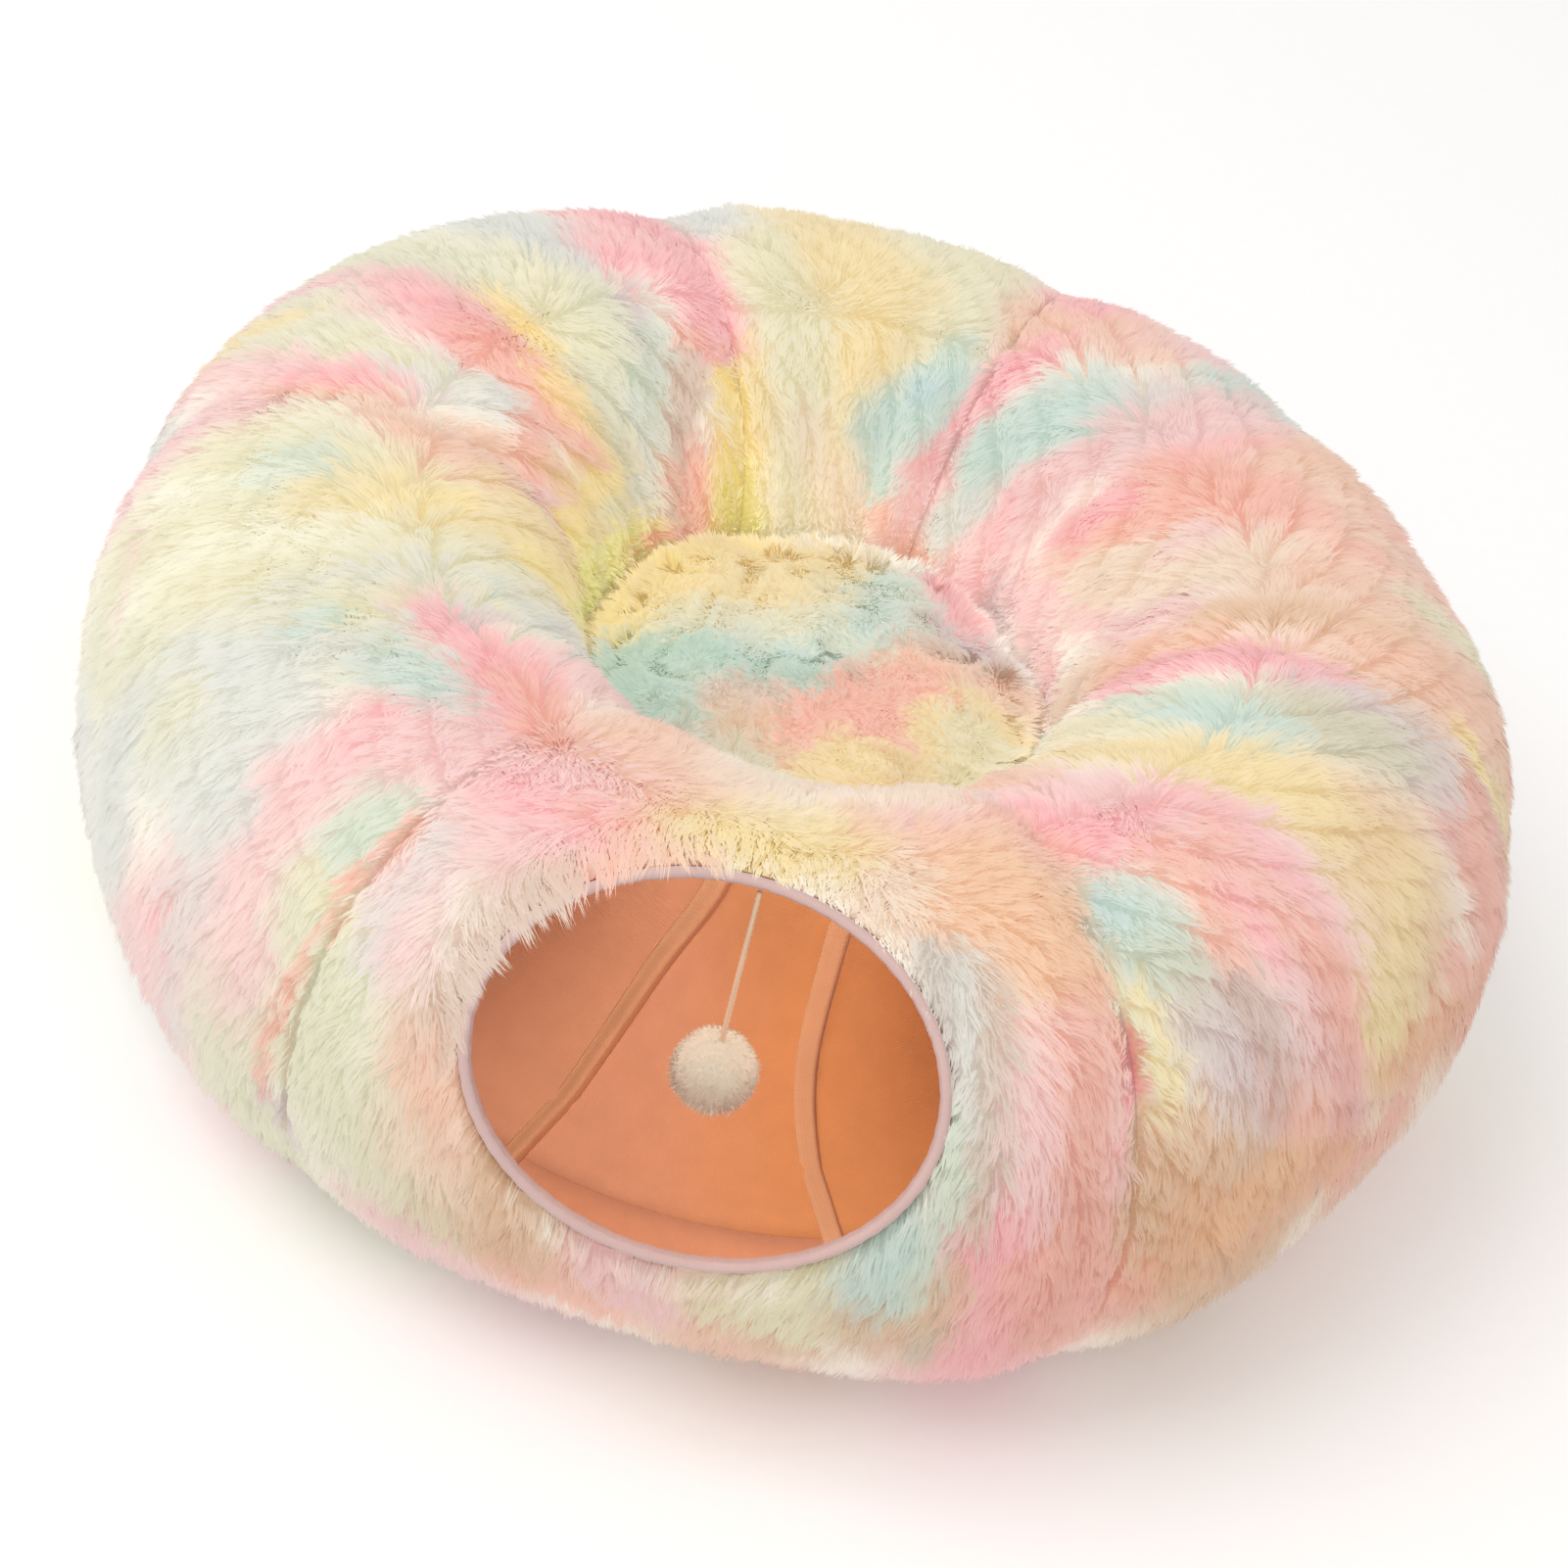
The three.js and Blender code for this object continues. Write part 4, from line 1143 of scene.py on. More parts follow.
def pile_mesh(name, first, last, sizes, tints, base, seed):
    """The long pile of one panel."""
    angle, around = pile_places(first, last, sizes.strand_spacing, seed)
    roots = backing(angle, around)
    normals, along, about = face_frame(angle, around)
    share, _ = beside_opening(roots)
    kept = share > 1 + PILE_FROM_OPENING / OPENING_HALF_WIDTH
    angle, around, roots, normals = angle[kept], around[kept], roots[kept], normals[kept]
    across, up, upright = combed(angle, around)
    lays = across[:, None] * along[kept] + up[:, None] * about[kept]
    chance = np.random.default_rng(seed + 50).uniform(-1, 1, (len(roots), 3))
    lays = unit(unit(lays) + 0.7 * upright[:, None] * chance)
    lays, turned = over_the_rim(roots, normals, lays)
    long = pile_lengths(angle, around, roots, sizes.pile_length)
    rise = (42 - 26 * turned[:, None], 68 + 18 * turned[:, None])
    points, shading, near = grow(
        roots,
        normals,
        lays,
        length=long,
        width=sizes.strand_width,
        rise=rise,
        lock=STRANDS_TO_A_LOCK,
        pull=0.4,
        droop=0.06,
        seed=seed,
    )
    shift = np.random.default_rng(seed + 90).uniform(-1, 1, (len(roots), 2))
    shift = shift + 1.5 * shift[near]
    dye = ring_dye_and_light(angle + 0.35 * shift[:, 0], around + 1.6 * shift[:, 1], tints, base)
    flat = points.reshape(-1, 3)
    places = np.stack(place_on_ring(flat), 1)
    middle = (first + last) / 2
    places[:, 0] = (turn_from(places[:, 0], middle) / (last - first + 8)) + 0.5
    places[:, 1] = (places[:, 1] - PILE_FROM + 20) / (PILE_TO - PILE_FROM + 40)
    places = np.clip(places, 0, 1)
    return strand_mesh(name, points, shading, strand_colours(dye, seed, near), places)


# Materials

def add_node(tree, kind, settings=(), inputs=()):
    """A shader node with its settings, and values or links for its sockets."""
    node = tree.nodes.new(kind)
    for name, value in dict(settings).items():
        setattr(node, name, value)
    for name, value in dict(inputs).items():
        if isinstance(value, bpy.types.NodeSocket):
            tree.links.new(value, node.inputs[name])
        else:
            node.inputs[name].default_value = value
    return node


def new_material(name, roughness, sheen=0.0, sheen_roughness=0.5):
    """A material with its shader, and the node tree that its pattern goes into."""
    material = bpy.data.materials.new(name)
    material.use_nodes = True
    tree = material.node_tree
    shader = tree.nodes["Principled BSDF"]
    shader.inputs["Roughness"].default_value = roughness
    shader.inputs["Specular IOR Level"].default_value = 0.15
    shader.inputs["Sheen Weight"].default_value = sheen
    shader.inputs["Sheen Roughness"].default_value = sheen_roughness
    return material, tree, shader


def socket_colour(colour):
    """A colour as a shader's socket holds it."""
    return (*np.clip(linear(colour), 0, 1), 1)


def shade_by(tree, shader, colour, value, between, shades):
    """Colours a shader, darker or paler between two shades as a value goes from one number to another."""
    band = add_node(
        tree,
        "ShaderNodeMapRange",
        inputs={
            "Value": value,
            "From Min": between[0],
            "From Max": between[1],
            "To Min": shades[0],
            "To Max": shades[1],
        },
    )
    toned = add_node(
        tree, "ShaderNodeHueSaturation", inputs={"Color": colour, "Value": band.outputs["Result"]}
    )
    tree.links.new(toned.outputs["Color"], shader.inputs["Base Color"])


def raise_by(tree, shader, height, strength, distance):
    """Gives a shader a fine relief from a height."""
    bump = add_node(
        tree, "ShaderNodeBump", inputs={"Strength": strength, "Distance": distance, "Height": height}
    )
    tree.links.new(bump.outputs["Normal"], shader.inputs["Normal"])


def pile_material(name):
    """Dyed pile: the strand's own dye with its painted shade and light, streaked along it as the fibres of
    a strand are.
    """
    material, tree, shader = new_material(name, 0.85, 0.35, 0.45)
    dye = add_node(tree, "ShaderNodeVertexColor", {"layer_name": "dye"})
    chart_node = add_node(tree, "ShaderNodeUVMap", {"uv_map": "Strand"})
    spread = add_node(
        tree, "ShaderNodeMapping", inputs={"Vector": chart_node.outputs["UV"], "Scale": (6, 0.8, 1)}
    )
    fibre = add_node(
        tree, "ShaderNodeTexNoise", inputs={"Vector": spread.outputs["Vector"], "Scale": 5, "Detail": 2}
    )
    shade_by(tree, shader, dye.outputs["Color"], fibre.outputs["Fac"], (0.3, 0.7), (0.95, 1.03))
    raise_by(tree, shader, fibre.outputs["Fac"], strength=0.3, distance=0.0004)
    return material


def backing_material(name):
    """The knitted backing under the pile: its dye made deeper as painted shade, flecked darker between its
    small loops.
    """
    material, tree, shader = new_material(name, 0.95, 0.2)
    dye = add_node(tree, "ShaderNodeVertexColor", {"layer_name": "dye"})
    places = add_node(tree, "ShaderNodeTexCoord")
    loops = add_node(
        tree, "ShaderNodeTexNoise", inputs={"Vector": places.outputs["Object"], "Scale": 420, "Detail": 3}
    )
    shade_by(tree, shader, dye.outputs["Color"], loops.outputs["Fac"], (0.3, 0.7), (0.82, 1.0))
    raise_by(tree, shader, loops.outputs["Fac"], strength=0.4, distance=0.001)
    return material


def woven_material(name, thread, depth, colour=None):
    """Plain-woven cloth: two sets of threads on its own UV map in metres, in one colour or the colours
    painted on its points, with their painted light and shade.
    """
    material, tree, shader = new_material(name, 0.8, 0.15)
    chart_node = add_node(tree, "ShaderNodeUVMap", {"uv_map": "Cloth"})
    scale = 2 * math.pi / (20 * thread)
    threads = [
        add_node(
            tree,
            "ShaderNodeTexWave",
            {"wave_type": "BANDS", "bands_direction": way},
            {"Vector": chart_node.outputs["UV"], "Scale": scale, "Distortion": 0.6, "Detail": 1},
        )
        for way in ("X", "Y")
    ]
    weave = add_node(
        tree,
        "ShaderNodeMath",
        {"operation": "MULTIPLY"},
        {0: threads[0].outputs["Fac"], 1: threads[1].outputs["Fac"]},
    )
    slub = add_node(
        tree, "ShaderNodeTexNoise", inputs={"Vector": chart_node.outputs["UV"], "Scale": 35, "Detail": 4}
    )
    height = add_node(
        tree,
        "ShaderNodeMath",
        {"operation": "MULTIPLY_ADD"},
        {0: slub.outputs["Fac"], 1: 1.5, 2: weave.outputs["Value"]},
    )
    if colour is None:
        shown = add_node(tree, "ShaderNodeVertexColor", {"layer_name": "dye"}).outputs["Color"]
    else:
        shown = socket_colour(colour)
    shade_by(tree, shader, shown, height.outputs["Value"], (0.3, 1.7), (0.9, 1.08))
    raise_by(tree, shader, height.outputs["Value"], strength=0.5, distance=depth)
    return material


def length_property(name, use, size, low, high):
    """A length that a user changes, in metres."""
    return FloatProperty(name=name, description=use, default=size, min=low, max=high, unit="LENGTH")


def colour_property(name, red, green, blue, use):
    """A colour that a user picks, as it shows on the screen."""
    return FloatVectorProperty(
        name=name, description=use, subtype="COLOR_GAMMA", size=3, min=0, max=1, default=(red, green, blue)
    )


class BedSizes(PropertyGroup):
    """Sizes of the soft pieces that a user would change."""

    pile_length: length_property("Pile length", "Length of the ring's long pile", 0.018, 0.006, 0.03)
    strand_width: length_property("Strand width", "Width of a strand in its middle", 0.0011, 0.0005, 0.004)
    strand_spacing: length_property(
        "Strand spacing", "Distance between strands of the ring's pile", 0.0018, 0.0015, 0.006
    )
    cushion_pile_length: length_property(
        "Cushion pile", "Length of the cushion's pile", 0.0080, 0.003, 0.02
    )
    cushion_strands: IntProperty(
        name="Cushion strands",
        description="Number of strands on the cushion's top",
        default=60000,
        min=2000,
        max=90000,
    )
    tuft_strands: IntProperty(
        name="Tuft strands", description="Number of strands in the tuft", default=12000, min=500, max=20000
    )


class PieceColours(PropertyGroup):
    """Colours of the pieces without dye strokes."""

    cream: colour_property("Cream pile", 0.98, 0.96, 0.90, "The undyed pile between the strokes")
    lining: colour_property("Lining", 0.91, 0.66, 0.51, "The woven lining")
    casing: colour_property("Rib casing", 0.900, 0.700, 0.540, "The casings of the ribs")
    # Painted shade: the darker colour along the steep edge of a rib's casing.
    casing_shaded_edge: colour_property("Casing edge", 0.790, 0.560, 0.420, "The stitched edge of a rib's casing")
    binding: colour_property("Binding", 0.810, 0.690, 0.670, "The bound edge of the opening")
    hem: colour_property("Hem", 0.94, 0.76, 0.64, "The lining's hem inside the binding")
    string: colour_property("String", 0.94, 0.82, 0.69, "The tuft's string")
    tuft: colour_property("Tuft", 0.86, 0.81, 0.72, "The yarn of the tuft")
    floor: colour_property("Floor", 0.99, 0.99, 0.99, "The studio floor")


class DyeAndLightColours(PropertyGroup):
    """The dyes of the pile, with clay made deeper as painted shade and lit yellow made paler as painted
    light, and the painted light on the lining.
    """

    cream: colour_property("Cream", 0.921, 0.826, 0.737, "Dye in the pile")
    ivory: colour_property("Ivory", 0.8, 0.762, 0.724, "Dye in the pile")
    lemon: colour_property("Lemon", 0.889, 0.861, 0.725, "Dye in the pile")
    yellow: colour_property("Yellow", 0.926, 0.837, 0.63, "Dye in the pile")
    gold: colour_property("Gold", 0.972, 0.873, 0.594, "Dye in the pile")
    orange: colour_property("Orange", 0.993, 0.899, 0.603, "Dye in the pile")
    lime: colour_property("Lime", 0.864, 0.854, 0.744, "Dye in the pile")
    mint: colour_property("Mint", 0.837, 0.843, 0.812, "Dye in the pile")
    aqua: colour_property("Aqua", 0.767, 0.844, 0.802, "Dye in the pile")
    sky: colour_property("Sky", 0.811, 0.847, 0.77, "Dye in the pile")
    blue: colour_property("Blue", 0.73, 0.808, 0.818, "Dye in the pile")
    greyblue: colour_property("Grey blue", 0.803, 0.779, 0.683, "Dye in the pile")
    lilac: colour_property("Lilac", 0.835, 0.766, 0.761, "Dye in the pile")
    pink: colour_property("Pink", 0.932, 0.767, 0.757, "Dye in the pile")
    rose: colour_property("Rose", 0.957, 0.69, 0.698, "Dye in the pile")
    coral: colour_property("Coral", 0.934, 0.699, 0.63, "Dye in the pile")
    red: colour_property("Red", 0.872, 0.494, 0.52, "Dye along a seam")
    peach: colour_property("Peach", 0.922, 0.746, 0.65, "Dye in the pile")
    orangepeach: colour_property("Orange peach", 0.923, 0.744, 0.613, "Dye in the pile")
    tan: colour_property("Tan", 0.866, 0.718, 0.594, "Dye in the pile")
    tanpink: colour_property("Tan pink", 0.963, 0.799, 0.632, "Dye in the pile")
    dusty: colour_property("Dusty rose", 0.947, 0.727, 0.655, "Dye in the pile")
    brick: colour_property("Brick pink", 0.884, 0.643, 0.577, "Dye in the pile")
    mauve: colour_property("Mauve", 0.79, 0.67, 0.621, "Dye in the pile")
    # Lit yellow: yellow dye made paler as painted light on the hole's wall.
    lit_yellow: colour_property("Sun yellow", 0.993, 0.93, 0.614, "Dye in the pile")
    milk: colour_property("Milk", 0.955, 0.944, 0.863, "Dye in the pile")
    # Clay: a warm dye, made deeper as painted shade low on the ring's right.
    clay_and_shade: colour_property("Clay", 0.91, 0.687, 0.54, "Dye in the pile")
    teal: colour_property("Teal", 0.70, 0.80, 0.74, "Dye in the pile")
    greypink: colour_property("Grey pink", 0.827, 0.733, 0.666, "Dye in the pile")
    # Painted light on the lining: the colours that light coming through the plush gives it.
    lining_rose_light: colour_property("Lining rose", 0.91, 0.68, 0.54, "The lining under pink pile")
    lining_gold_light: colour_property("Lining gold", 0.84, 0.60, 0.40, "The lining under yellow pile")
    lining_brown_light: colour_property("Lining brown", 0.93, 0.66, 0.43, "The lining on its far side")


def dyes(context):
    """Every dye and painted light as linear numbers, by name."""
    group = context.scene.bed_dyes
    return {name: linear(getattr(group, name)) for name in DyeAndLightColours.__annotations__}


class TUNNELBED_OT_covers(Operator):
    """The six panels' backing and padding, wrapped round the tunnel, the front one cut for the opening"""

    bl_idname = "tunnel_bed.covers"
    bl_label = "Panels"

    def execute(self, context):
        tints, base = dyes(context), context.scene.bed_colours.cream
        material = backing_material("plush_backing")
        for name, first, last in PANELS:
            mesh = wall_strip(
                "cover_" + name,
                first,
                last,
                round((last - first) / COVER_STEP),
                COVER_ROUNDS,
                lambda angle, around: backing(angle, around, COVER_SUNK),
                lambda angle, around: wall(angle, around, COVER_THICKNESS),
                SEEN_SEAM,
            )
            if name == "front":
                mesh = cut_opening(mesh)
            colours = ring_dye_and_light(*place_on_ring(corners(mesh)), tints, base)
            # Painted shade: the backing deeper than the pile's dye, for the shade under the pile.
            paint(mesh, np.clip(colours, 0, 1) ** 1.25)
            cover = piece("cover_" + name, mesh, material)
            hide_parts("panel_" + name)
        return {"FINISHED"}


class TUNNELBED_OT_pile(Operator):
    """The long pile of the six panels, combed down outside and into the hole inside"""

    bl_idname = "tunnel_bed.pile"
    bl_label = "Long pile"

    def execute(self, context):
        tints, base = dyes(context), context.scene.bed_colours.cream
        material = pile_material("long_pile")
        for index, (name, first, last) in enumerate(PANELS):
            mesh = pile_mesh("pile_" + name, first, last, context.scene.bed_sizes, tints, base, 11 + index)
            pile_on(bpy.data.objects["cover_" + name], "pile_" + name, mesh, material)
        return {"FINISHED"}


class TUNNELBED_OT_lining(Operator):
    """The woven lining inside the tunnel"""

    bl_idname = "tunnel_bed.lining"
    bl_label = "Lining"

    def execute(self, context):
        tints, colours = dyes(context), context.scene.bed_colours
        depth = COVER_THICKNESS + LINING_CLEARANCE
        mesh = wall_strip(
            "lining",
            first=180,
            last=540,
            columns=120,
            rows=60,
            outer=lambda angle, around: wall(angle, around, depth),
            inner=lambda angle, around: wall(angle, around, depth + LINING_THICKNESS),
        )
        mesh = cut_opening(mesh)
        angle, around = place_on_ring(corners(mesh))
        chart(mesh, "Cloth", np.stack([np.radians(angle) * RING_RADIUS, around * ROUND_METRES], 1))
        # The lining's colour, with painted light where light comes through the plush.
        paint(mesh, lining_painted_light(angle, around, tints, colours.lining))
        material = woven_material("lining_cloth", thread=0.0016, depth=0.0004)
        cloth = piece("lining_cloth", mesh, material)
        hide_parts("lining")
        return {"FINISHED"}


def lining_painted_light(angle, around, tints, base):
    """The lining's colour at places on it, with painted light where light comes through the plush."""

    def place(first, first_round, second, second_round):
        x = turn_from(angle, first) * LINING_DEGREE
        dx = turn_from(second, first) * LINING_DEGREE
        rise = ROUND_METRES * 1000
        return x, (around - first_round) * rise, dx, (second_round - first_round) * rise

    frayed = 0.2 * drift(angle * 0.15, around * 0.05, 9)
    return stroke_wash(LINING_STROKES, place, tints, base, frayed)


def angle_along(around, rounds, angles):
    """The angles round the ring at which a path passes angles round the tunnel, its corners eased."""
    return np.mean([np.interp(around + step, rounds, angles) for step in PATH_EASE], axis=0)


class TUNNELBED_OT_rib_casings(Operator):
    """The two sewn casings that hold the ribs beside the opening"""

    bl_idname = "tunnel_bed.rib_casings"
    bl_label = "Rib casings"

    def execute(self, context):
        colours = context.scene.bed_colours
        material = woven_material("casing_cloth", thread=0.0016, depth=0.0004)
        base = COVER_THICKNESS + LINING_CLEARANCE + LINING_THICKNESS - RIB_SUNK
        for name, rounds, angles in RIB_CASINGS:
            mesh = slab_mesh(name, columns=12, rows=60)
            points = corners(mesh)
            across, along = points[:, 0], points[:, 1]
            around = RIB_FROM + (along + 0.5) * (RIB_TO - RIB_FROM)
            radius = RING_RADIUS + TUBE_HALF_WIDTH * np.cos(np.radians(around))
            angle = angle_along(around, rounds, angles) + np.degrees(across * RIB_WIDTH / radius)
            crest = (RIB_SEEN_HEIGHT - RIB_EDGE) * ease(across, -0.5, 0.2) * (1 - ease(across, 0.3, 0.5))
            depth = np.where(points[:, 2] > 0, base, base + (RIB_EDGE + crest))
            put_corners(mesh, wall(angle, around, depth))
            turn_out(mesh)
            chart(mesh, "Cloth", np.stack([across * RIB_WIDTH, around * ROUND_METRES], 1))
            # Painted shade along the casing's steep edge, and painted light on its side towards -X.
            edge = ease(across, 0.18, 0.4)[:, None]
            shade = linear(colours.casing) * (1 - edge) + linear(colours.casing_shaded_edge) * edge
            pale = RIB_PAINTED_LIGHT_SHARE * (1 - ease(across, -0.45, -0.1))[:, None]
            paint(mesh, shade * (1 - pale) + pale * linear(RIB_PAINTED_LIGHT))
            casing = piece(name + "_cloth", mesh, material)
            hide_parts(name)
        return {"FINISHED"}


def band_mesh(name, width, thick, outer_depth, inner_depth, turns, pucker):
    """A closed band round the opening: a tube of cloth between two depths of the wall."""
    bm = bmesh.new()
    bmesh.ops.create_circle(bm, segments=16, radius=1)
    bmesh.ops.rotate(bm, verts=bm.verts[:], matrix=Matrix.Rotation(math.pi / 2, 3, "X"))
    bmesh.ops.translate(bm, verts=bm.verts[:], vec=(2, 0, 0))
    bmesh.ops.spin(bm, geom=bm.edges[:], axis=(0, 0, 1), angle=2 * math.pi, steps=turns, use_merge=True)
    bmesh.ops.recalc_face_normals(bm, faces=bm.faces[:])
    mesh = mesh_from(bm, name)
    points = corners(mesh)
    turn = np.arctan2(points[:, 1], points[:, 0])
    section = np.hypot(points[:, 0], points[:, 1]) - 2
    wide, high = OPENING_HALF_WIDTH + width, OPENING_HALF_HEIGHT + width
    cosine, sine = np.cos(turn), np.sin(turn)
    outer = wall_distance(wide * cosine, high * sine, outer_depth)
    inner = wall_distance(wide * cosine, high * sine, inner_depth)
    ruffle = 1 + pucker * (np.sin(61 * turn) + 0.6 * np.sin(23 * turn + 1))
    side = signed_power(section, BINDING_SQUARENESS) * thick * ruffle
    share = (signed_power(points[:, 2], BINDING_SQUARENESS) + 1) / 2
    out = inner + share * (outer - inner)
    put_corners(mesh, opening_point((wide + side) * cosine, (high + side) * sine, out))
    turn_out(mesh)
    length = (OPENING_HALF_WIDTH + OPENING_HALF_HEIGHT) / 2
    chart(mesh, "Cloth", np.stack([turn * length, np.arctan2(points[:, 2], section) * 0.004], 1))
    return mesh


class TUNNELBED_OT_binding(Operator):
    """The opening's bound edge and the lining's hem inside it"""

    bl_idname = "tunnel_bed.binding"
    bl_label = "Bound edge"

    def execute(self, context):
        colours = context.scene.bed_colours
        inner = COVER_THICKNESS + LINING_CLEARANCE + LINING_THICKNESS
        mesh = band_mesh(
            "binding",
            width=BINDING_WIDTH / 2,
            thick=BINDING_WIDTH / 2,
            outer_depth=BINDING_SUNK,
            inner_depth=inner + BINDING_INSIDE,
            turns=OPENING_STEPS * 2,
            pucker=0.05,
        )
        material = woven_material("binding_cloth", thread=0.0012, depth=0.0003, colour=colours.binding)
        binding = piece("binding", mesh, material)
        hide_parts("opening_binding")
        mesh = band_mesh(
            "lining_hem",
            width=BINDING_WIDTH + 0.0016,
            thick=0.0028,
            outer_depth=inner + 0.0008,
            inner_depth=inner + 0.0065,
            turns=OPENING_STEPS * 2,
            pucker=0.06,
        )
        material = woven_material("hem_cloth", thread=0.0014, depth=0.0003, colour=colours.hem)
        hem = piece("lining_hem", mesh, material)
        hem.parent = binding
        return {"FINISHED"}


def in_order(bm):
    """Puts a bmesh's faces in the order of their points, because a spin orders them anew on each run."""
    bm.verts.index_update()
    count = len(bm.verts)

    def number(face):
        first, second, third = sorted(v.index for v in face.verts)[:3]
        return (first * count + second) * count + third

    bm.faces.sort(key=number)


def smooth_line(rows, steps):
    """A smooth line through rows of two numbers."""
    rows = np.array(rows, float)
    ends = np.vstack([2 * rows[0] - rows[1], rows, 2 * rows[-1] - rows[-2]])
    found = []
    for index in range(1, len(ends) - 2):
        a, b, c, d = ends[index - 1 : index + 3]
        for step in range(steps):
            t = step / steps
            bend = 2 * a - 5 * b + 4 * c - d
            found.append(0.5 * (2 * b + (c - a) * t + bend * t * t + (3 * b - a - 3 * c + d) * t**3))
    found.append(rows[-1])
    return np.array(found)


def cushion_mesh():
    """The filled cushion: it stands on the floor, swells to the hole's wall and crowns above its waist."""
    waist = wall(np.zeros(3), np.array(CUSHION_WAIST, float), -CUSHION_GAP)
    rows = [*CUSHION_FOOT, *[(-p[1], p[2]) for p in waist], *CUSHION_CROWN, (0.0, CUSHION_TOP)]
    line = np.vstack([[(0.0, 0.0)], smooth_line(rows, steps=5)])
    bm = bmesh.new()
    verts = [bm.verts.new((radius, 0, height)) for radius, height in line]
    edges = [bm.edges.new(pair) for pair in zip(verts, verts[1:])]
    bmesh.ops.spin(
        bm, geom=edges, axis=(0, 0, 1), angle=2 * math.pi, steps=CUSHION_STEPS, use_merge=True
    )
    bmesh.ops.remove_doubles(bm, verts=bm.verts[:], dist=1e-5)
    bmesh.ops.recalc_face_normals(bm, faces=bm.faces[:])
    in_order(bm)
    mesh = mesh_from(bm, "cushion")
    points = corners(mesh)
    outward, turn = np.hypot(points[:, 0], points[:, 1]), np.arctan2(points[:, 0], -points[:, 1])
    rim = ease(outward, 0.055, 0.100)
    lift = -CUSHION_SAG * (1 + rim)
    for height, waves, across, at in CUSHION_WAVES:
        lift = lift + height * (rim if at == "rim" else 1 - rim) * np.sin(waves * turn + across * outward)
    points[:, 2] += lift * ease(points[:, 2], 0.185, 0.200)
    put_corners(mesh, points)
    return mesh


def shrunk(mesh, depth, above):
    """Draws the upper part of a mesh in along its normals, to leave room for pile."""
    points = corners(mesh)
    share = ease(points[:, 2], above - 0.02, above + 0.01)[:, None]
    put_corners(mesh, points - outward_ways(mesh) * depth * share)


def scattered(mesh, count, above, seed):
    """Even places over the part of a mesh above a height, and the directions out of it there."""
    mesh.calc_loop_triangles()
    index = np.empty(len(mesh.loop_triangles) * 3, np.int32)
    mesh.loop_triangles.foreach_get("vertices", index)
    points, normals = corners(mesh), outward_ways(mesh).astype(float)
    index = index.reshape(-1, 3)
    index = index[points[index, 2].min(axis=1) > above]
    a, b, c = points[index[:, 0]], points[index[:, 1]], points[index[:, 2]]
    total = np.cumsum(np.linalg.norm(np.cross(b - a, c - a), axis=1))
    chance = np.random.default_rng(seed).uniform(0, 1, (count, 3))
    row = np.searchsorted(total, (np.arange(count) + chance[:, 0]) / count * total[-1])
    row = np.minimum(row, len(index) - 1)
    root = np.sqrt(chance[:, 1:2])
    share = np.hstack([1 - root, root * (1 - chance[:, 2:3]), root * chance[:, 2:3]])
    places = sum(points[index[row, n]] * share[:, n : n + 1] for n in range(3))
    return places, unit(sum(normals[index[row, n]] * share[:, n : n + 1] for n in range(3)))


class TUNNELBED_OT_cushion(Operator):
    """The filled cushion in the ring's hole, with its short curly pile"""

    bl_idname = "tunnel_bed.cushion"
    bl_label = "Cushion"

    def execute(self, context):
        tints, base = dyes(context), context.scene.bed_colours.cream
        sizes = context.scene.bed_sizes
        mesh = cushion_mesh()
        shrunk(mesh, CUSHION_PILE_ROOM, CUSHION_PILE_FROM)
        # Painted shade: the pad deeper than its pile's dye, for the shade under the pile.
        paint(mesh, np.clip(cushion_dye_and_light(corners(mesh), tints, base), 0, 1) ** 1.1)
        cushion = piece("cushion_pad", mesh, backing_material("cushion_backing"))
        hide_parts("cushion")
        roots, normals = scattered(mesh, sizes.cushion_strands, CUSHION_PILE_FROM, seed=31)
        swirl = 6.3 * drift(roots[:, 0] * 55 + 9, roots[:, 1] * 55 + 9, 32)
        lays = np.stack([np.cos(swirl), np.sin(swirl), np.zeros(len(swirl))], 1)
        lays = unit(lays - np.sum(lays * normals, axis=1, keepdims=True) * normals)
        radius = np.hypot(roots[:, 0], roots[:, 1])
        edge = ease(radius, *CUSHION_EDGE)
        outward = roots / radius[:, None] * [1, 1, 0]
        lays = unit(lays + 1.5 * edge[:, None] * outward)
        long = sizes.cushion_pile_length * (0.9 + 0.5 * edge)
        points, shading, near = grow(
            roots,
            normals,
            lays,
            length=long,
            width=sizes.strand_width,
            rise=(44, 72),
            lock=8,
            pull=0.33,
            droop=0.0,
            seed=33,
        )
        shift = np.random.default_rng(35).uniform(-0.004, 0.004, (len(roots), 3))
        dye = cushion_dye_and_light(roots + 0.5 * shift + 1.5 * shift[near], tints, base)
        colours = strand_colours(dye, 34, near, uneven=1.4)
        places = np.clip(points.reshape(-1, 3)[:, :2] / CUSHION_MAP + 0.5, 0, 1)
        pile = strand_mesh("cushion_pile", points, shading, colours, places)
        pile_on(cushion, "cushion_pile", pile, pile_material("cushion_pile"))
        return {"FINISHED"}


